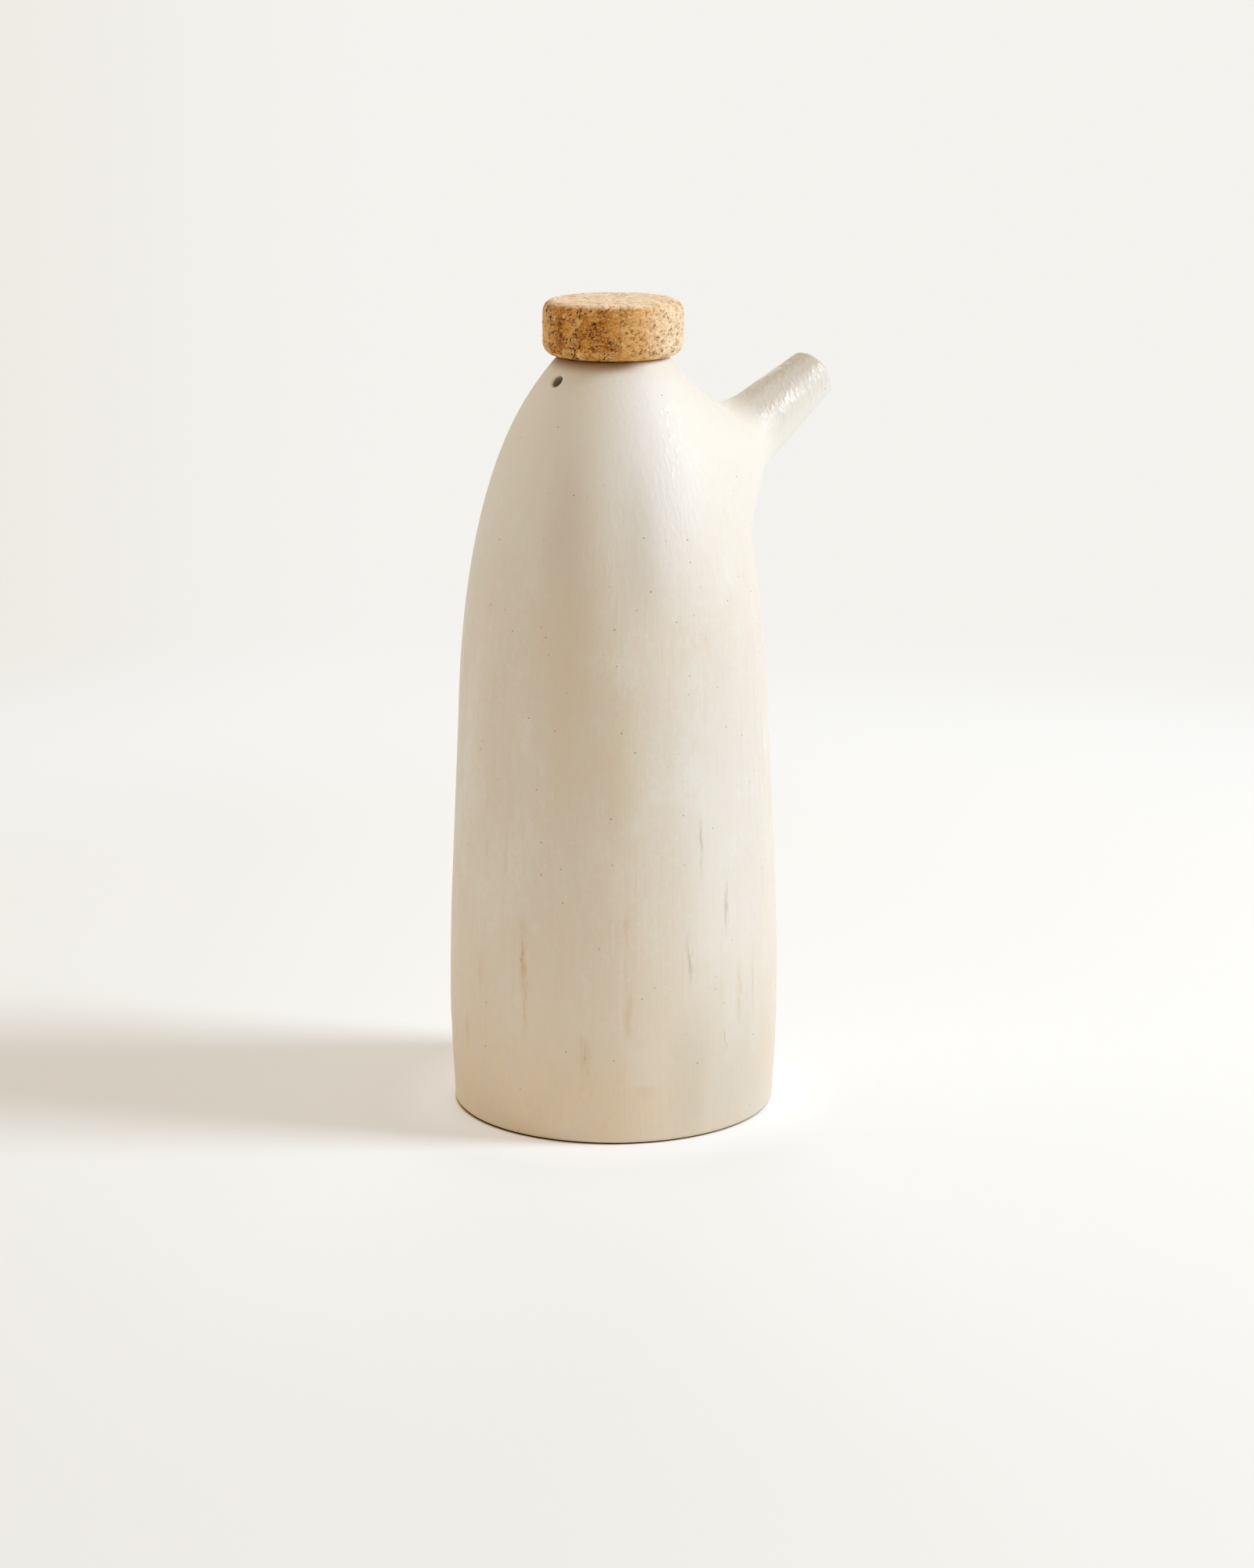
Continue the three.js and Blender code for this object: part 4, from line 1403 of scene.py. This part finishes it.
@dataclass
class CorkStopper:
    """Stopper turned from pressed cork: a round head with pits, and a tapered plug."""

    seat: float = 185.9
    head_radius: float = 16.9
    head_height: float = 13.3
    top_edge: float = 3.1
    foot_edge: float = 3.2
    plug_radius: float = 9.9
    plug_taper: float = 1.0
    plug_length: float = 18.0
    plug_edge: float = 0.8
    columns: int = 240
    under_rows: int = 10
    plug_edge_rows: int = 5
    plug_rows: int = 25
    foot_edge_rows: int = 9
    side_rows: int = 20
    top_edge_rows: int = 13
    top_rows: int = 30
    pole_radius: float = 0.3
    head_start: Pair = (-0.1, 0.3)
    pit_start: float = 0.2
    pits: int = 260
    pit_depth: float = 0.45
    pit_length: Pair = (0.3, 0.9)
    pit_width: Pair = (0.2, 0.36)
    lump_depth: float = 0.16
    lump_size: float = 2.2
    crumb_depth: float = 0.08
    crumb_size: float = 0.9
    finish: CorkFinish = field(default_factory=CorkFinish)

    def profile(self) -> Array:
        """Radius and height from under the plug, up its side and round the head to the middle of the top.

        Returns:
            Rows of radius and height.
        """
        end = self.seat - self.plug_length
        end_radius = self.plug_radius - self.plug_taper
        top = self.seat + self.head_height
        inner = end_radius - self.plug_edge
        side = np.linspace(self.seat + self.foot_edge, top - self.top_edge, self.side_rows)[1:-1]
        plug = np.linspace(0.0, 1.0, self.plug_rows + 1)[1:]
        under_head = np.linspace(self.plug_radius, self.head_radius - self.foot_edge, self.under_rows)[1:-1]
        flat = np.linspace(self.head_radius - self.top_edge, self.pole_radius, self.top_rows)[1:]
        under_plug = np.linspace(self.pole_radius, inner, self.under_rows)[:-1]
        plug_heights = end + self.plug_edge + (self.plug_length - self.plug_edge) * plug
        plug_line = np.stack([end_radius + self.plug_taper * plug, plug_heights], axis=1)
        foot_centre = (self.head_radius - self.foot_edge, self.seat + self.foot_edge)
        top_centre = (self.head_radius - self.top_edge, top - self.top_edge)
        return np.concatenate(
            [
                level(under_plug, end),
                quarter((inner, end + self.plug_edge), self.plug_edge, -90.0, 0.0, self.plug_edge_rows),
                plug_line,
                level(under_head, self.seat),
                quarter(foot_centre, self.foot_edge, -90.0, 0.0, self.foot_edge_rows),
                np.stack([np.full_like(side, self.head_radius), side], axis=1),
                quarter(top_centre, self.top_edge, 0.0, 90.0, self.top_edge_rows),
                level(flat, top),
            ]
        )

    def pit_depths(self, points: Array, normals: Array) -> Array:
        """Depth of the pits, 0 to 1: bell curves of stretched distance from random places on the surface.

        Args:
            points: Surface points.
            normals: Outward normals there.

        Returns:
            One depth for each point.
        """
        chance = np.random.default_rng(11)
        chosen = chance.choice(len(points), self.pits, replace=False, p=self.area_share(points))
        middle = points[chosen]
        normal = normals[chosen]
        along = unit(np.cross(normal, unit(chance.normal(size=(self.pits, 3)))))
        across = np.cross(normal, along)
        length = chance.uniform(*self.pit_length, self.pits)
        width = chance.uniform(*self.pit_width, self.pits)

        def stretched(axis: Array, size: Array) -> Array:
            """Distance of every point from every pit along one of its axes, in that pit's sizes."""
            return (points @ axis.T - (middle * axis).sum(axis=1)) / size

        square = stretched(along, length) ** 2 + stretched(across, width) ** 2
        return np.exp(-(square + stretched(normal, length) ** 2)).max(axis=1)

    def area_share(self, points: Array) -> Array:
        """Chance of a pit at each vertex, even over the head's surface: the radius, none on the plug.

        Args:
            points: Vertices in millimetres.

        Returns:
            Chances that add up to 1.
        """
        radius = np.hypot(points[:, 0], points[:, 1])
        weight = radius * (points[:, 2] > self.seat + self.pit_start)
        return weight / weight.sum()

    def build(self) -> bpy.types.Object:
        """Make the stopper's mesh.

        The profile is revolved, then each point is set in along its normal by lumps of noise and by pits.

        Returns:
            The finished piece, with the depth of its pits stored on each vertex.
        """
        profile = self.profile()
        angle = np.arange(self.columns) * 2.0 * np.pi / self.columns
        grid = about_axis(profile[:, :1], angle, profile[:, 1:])
        slope = unit(np.gradient(profile, axis=0))
        normals = about_axis(slope[:, 1:], angle, -slope[:, :1])
        points = grid.reshape(-1, 3)
        outward = normals.reshape(-1, 3)
        pits = self.pit_depths(points, outward)
        lumps = self.lump_depth * (lattice_noise(points, self.lump_size, 21) - 0.5)
        lumps += self.crumb_depth * (lattice_noise(points, self.crumb_size, 22) - 0.5)
        on_head = smooth(*self.head_start, points[:, 2] - self.seat)
        points = points - outward * (on_head * (lumps + self.pit_depth * pits))[:, None]
        points[:, 2] = np.clip(points[:, 2], self.seat - self.plug_length, self.seat + self.head_height)

        numbers = np.arange(len(points)).reshape(grid.shape[:2])
        ends = np.array([[0.0, 0.0, points[ring, 2].mean()] for ring in (numbers[0], numbers[-1])])
        piece = make_piece(
            "cork_head_and_plug",
            np.concatenate([points, ends]),
            ring_quads(numbers).reshape(-1, 4),
            caps(numbers, len(points)),
        )
        set_attribute(piece, "pit", np.concatenate([pits, np.zeros(2)]))
        return piece

    def dress(self, piece: bpy.types.Object) -> None:
        """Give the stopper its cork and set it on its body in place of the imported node.

        Args:
            piece: The object that build made.
        """
        piece.data.materials.append(self.finish.build())
        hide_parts("cork_stopper")
        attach(piece, Body.STOPPER.value)


@dataclass(frozen=True)
class FloorFinish:
    """Pale paper floor that keeps the bottle's shadow, with a painted contact shadow round the foot, painted
    fall-off to the left and front and a painted glow, fading to a ground further off that is painted darker
    to the left.
    """

    bounce: Colour = (0.93, 0.975, 1.0, 1.0)
    near: Colour = (0.854, 0.896, 0.955, 1.0)
    haze: Colour = (0.95, 0.975, 1.0, 1.0)
    far: Colour = (0.905, 0.890, 0.855, 1.0)
    # Painted fall-off: the far ground is darker to the left.
    far_left: Colour = (0.845, 0.815, 0.765, 1.0)
    # Painted contact shadow round the foot, with a warm fringe painted for light bounced off the clay.
    contact_shadow: Colour = (0.11, 0.05, 0.005, 1.0)
    fringe: Colour = (0.67, 0.45, 0.18, 1.0)
    # Dimmed towards this: painted fall-off of light to the left and the front.
    dimmest: Colour = (0.0, 0.0, 0.0, 1.0)
    glow_tint: Colour = (0.86, 0.84, 0.90, 1.0)
    glow: float = 0.105
    rim_glow: float = 0.10
    rim_width: float = 22.0
    foot: float = 38.6
    # Shift that makes the painted contact shadow wider on the shaded left.
    foot_shift: Triple = (0.35, 0.0, 0.0)
    contact_shadow_width: float = 0.3
    fringe_start: float = 0.2
    fringe_end: float = 1.2
    left_dim: Triple = (-150.0, -20.0, 0.975)
    front_dim: Triple = (-240.0, -40.0, 0.965)
    left_slant: Pair = (-0.06, -0.21)
    left_depth: Pair = (-500.0, 100.0)
    viewer: float = 900.0
    fade: Pair = (260.0, 620.0)
    front: float = math.radians(38.0)

    def build(self) -> bpy.types.Material:
        """Make the material: lit paper close by with its painted contact shadow, fall-off and glow, and a
        ground where the camera looks further off, painted darker to the left.

        Returns:
            The finished material.
        """
        graph = NodeGraph("pale_floor")
        turned = graph.place(turn=(0.0, 0.0, self.front))
        away = graph.vector("LENGTH", turned)
        ring = graph.vector("LENGTH", graph.vector("ADD", turned, self.foot_shift))
        right, deep, _ = graph.node("SeparateXYZ", {0: turned}).outputs
        rays = graph.node("LightPath").outputs
        seen = graph.most(rays["Is Camera Ray"], rays["Is Glossy Ray"], rays["Is Transmission Ray"])

        # Painted contact shadow and its warm fringe round the foot.
        contact = graph.span(ring, self.foot, self.foot + self.contact_shadow_width)
        clear = graph.span(ring, self.foot + self.fringe_start, self.foot + self.fringe_end)
        # Painted fall-off of light towards the left and the front.
        dim = graph.times(graph.span(right, *self.left_dim, 1.0), graph.span(deep, *self.front_dim, 1.0))
        near = graph.blend(clear, self.fringe, graph.blend(dim, self.dimmest, self.near))
        paper_colour = graph.blend(seen, self.bounce, graph.blend(contact, self.contact_shadow, near))
        # Painted light for the camera: an even glow, stronger close round the foot where it lifts the shade.
        rim = graph.span(away, self.foot, self.foot + self.rim_width, self.glow + self.rim_glow, self.glow)
        lift = {"Color": self.glow_tint, "Strength": graph.times(clear, rim, seen)}
        paper = graph.node(
            "AddShader",
            {
                0: graph.node("BsdfDiffuse", {"Color": paper_colour}).outputs[0],
                1: graph.node("Emission", lift).outputs[0],
            },
        ).outputs[0]

        slant = graph.math("DIVIDE", right, graph.math("ADD", deep, self.viewer))
        # Painted fall-off: the far ground darker to the left.
        leftness = graph.times(graph.span(slant, *self.left_slant), graph.span(deep, *self.left_depth))
        fade = graph.span(away, *self.fade)
        far = graph.blend(fade, self.haze, graph.blend(leftness, self.far, self.far_left))
        ground = graph.node("Emission", {"Color": far, "Strength": 1.0}).outputs[0]
        share = graph.times(fade, seen)
        return graph.finish(graph.node("MixShader", {0: share, 1: paper, 2: ground}).outputs[0])


@dataclass(frozen=True)
class SoftBox:
    """One soft lamp, placed round the bottle from the camera's line."""

    name: str
    bearing: float
    elevation: float
    distance: float
    size: Pair
    power: float
    colour: Triple


@dataclass
class Studio:
    """Floor, soft lamps, world light and the camera at the photograph's viewing angle."""

    camera_azimuth: float = -38.0
    camera_height: float = 299.55
    camera_distance: float = 900.48
    camera_right: float = 3.33
    camera_pitch: float = 13.7075
    lens: float = 86.4
    sensor: float = 36.0
    floor_half: float = 12000.0
    floor_lines: int = 9
    world_colour: Colour = (1.0, 0.77, 0.475, 1.0)
    world_strength: float = 0.485
    lamp_aim: float = 100.0
    clip: Pair = (0.05, 50.0)
    lamps: tuple[SoftBox, ...] = (
        SoftBox("key_from_right", 84.0, 33.0, 2000.0, (630.0, 1000.0), 28.3, (0.83, 0.925, 1.0)),
        SoftBox("fill_from_left", -118.0, 24.0, 2000.0, (2200.0, 2200.0), 6.9, (0.95, 0.98, 1.0)),
        SoftBox("glow_from_behind", 180.0, 20.0, 2000.0, (1200.0, 1200.0), 5.8, (0.92, 0.97, 1.0)),
        SoftBox("wash_from_above", 0.0, 89.0, 2000.0, (1200.0, 1200.0), 5.2, (0.85, 0.94, 1.0)),
    )

    def towards(self, bearing: float, elevation: float) -> Array:
        """Direction from the bottle to a place seen at a bearing to the right of the camera's line.

        Args:
            bearing: Degrees to the right of the camera's line.
            elevation: Degrees above the floor.

        Returns:
            A unit vector.
        """
        turn = math.radians(self.camera_azimuth + bearing)
        lift = math.radians(elevation)
        return np.array([math.sin(turn) * math.cos(lift), -math.cos(turn) * math.cos(lift), math.sin(lift)])

    def build(self) -> None:
        """Make everything round the object."""
        scene = bpy.context.scene
        scene.view_settings.view_transform = "Standard"
        self.build_floor()
        self.build_world(scene)
        for lamp in self.lamps:
            self.build_lamp(lamp)
        self.build_camera(scene)

    def build_floor(self) -> None:
        """Lay the floor: a flat grid at the height of the foot."""
        edge = np.linspace(-self.floor_half, self.floor_half, self.floor_lines)
        across, deep = np.meshgrid(edge, edge)
        points = np.stack([across.ravel(), deep.ravel(), np.zeros(across.size)], axis=1)
        numbers = np.arange(across.size).reshape(across.shape)
        quads = np.stack([numbers[:-1, :-1], numbers[:-1, 1:], numbers[1:, 1:], numbers[1:, :-1]], axis=-1)
        floor = make_piece("pale_floor", points, quads.reshape(-1, 4), np.zeros((0, 3), np.int64))
        floor.data.materials.append(FloorFinish().build())

    def build_world(self, scene: bpy.types.Scene) -> None:
        """Set an even warm light all round, behind a ground that the camera sees as pale.

        Args:
            scene: Scene to set up.
        """
        world = bpy.data.worlds.new("soft_room")
        world.use_nodes = True
        tree = world.node_tree
        room = tree.nodes["Background"]
        room.inputs["Color"].default_value = self.world_colour
        room.inputs["Strength"].default_value = self.world_strength
        ground = tree.nodes.new("ShaderNodeBackground")
        ground.inputs["Color"].default_value = FloorFinish().far
        path = tree.nodes.new("ShaderNodeLightPath")
        mix = tree.nodes.new("ShaderNodeMixShader")
        tree.links.new(path.outputs["Is Camera Ray"], mix.inputs[0])
        tree.links.new(room.outputs[0], mix.inputs[1])
        tree.links.new(ground.outputs[0], mix.inputs[2])
        tree.links.new(mix.outputs[0], tree.nodes["World Output"].inputs[0])
        scene.world = world

    def build_lamp(self, lamp: SoftBox) -> None:
        """Hang one soft lamp and point it at the middle of the bottle.

        Args:
            lamp: Place, size, power and colour.
        """
        data = bpy.data.lights.new(lamp.name, "AREA")
        data.shape = "ELLIPSE"
        data.size = lamp.size[0] * MM
        data.size_y = lamp.size[1] * MM
        data.energy = lamp.power
        data.color = lamp.colour
        towards = self.towards(lamp.bearing, lamp.elevation)
        held = bpy.data.objects.new(lamp.name, data)
        held.location = (towards * lamp.distance + np.array([0.0, 0.0, self.lamp_aim])) * MM
        tilt = math.radians(90.0 - lamp.elevation)
        held.rotation_euler = (tilt, 0.0, math.radians(self.camera_azimuth + lamp.bearing))
        bpy.context.scene.collection.objects.link(held)

    def build_camera(self, scene: bpy.types.Scene) -> None:
        """Set the camera: level, looking down at its pitch along the photograph's line.

        Args:
            scene: Scene to set up.
        """
        data = bpy.data.cameras.new("photograph")
        data.sensor_fit = "VERTICAL"
        data.sensor_height = self.sensor
        data.lens = self.lens
        data.clip_start, data.clip_end = self.clip
        camera = bpy.data.objects.new("photograph", data)
        back = self.towards(0.0, 0.0) * self.camera_distance
        right = self.towards(90.0, 0.0) * self.camera_right
        camera.location = (back + right + np.array([0.0, 0.0, self.camera_height])) * MM
        tilt = math.radians(90.0 - self.camera_pitch)
        camera.rotation_euler = (tilt, 0.0, math.radians(self.camera_azimuth))
        scene.collection.objects.link(camera)
        scene.camera = camera


def main() -> None:
    """Build the studio and both pieces."""
    logging.basicConfig(level=logging.INFO, format="%(name)s: %(message)s")
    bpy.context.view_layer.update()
    Studio().build()
    for part in (Bottle(), CorkStopper()):
        piece = part.build()
        part.dress(piece)
        log.info("%s: %d faces", piece.name, len(piece.data.polygons))


if __name__ == "__main__":
    main()
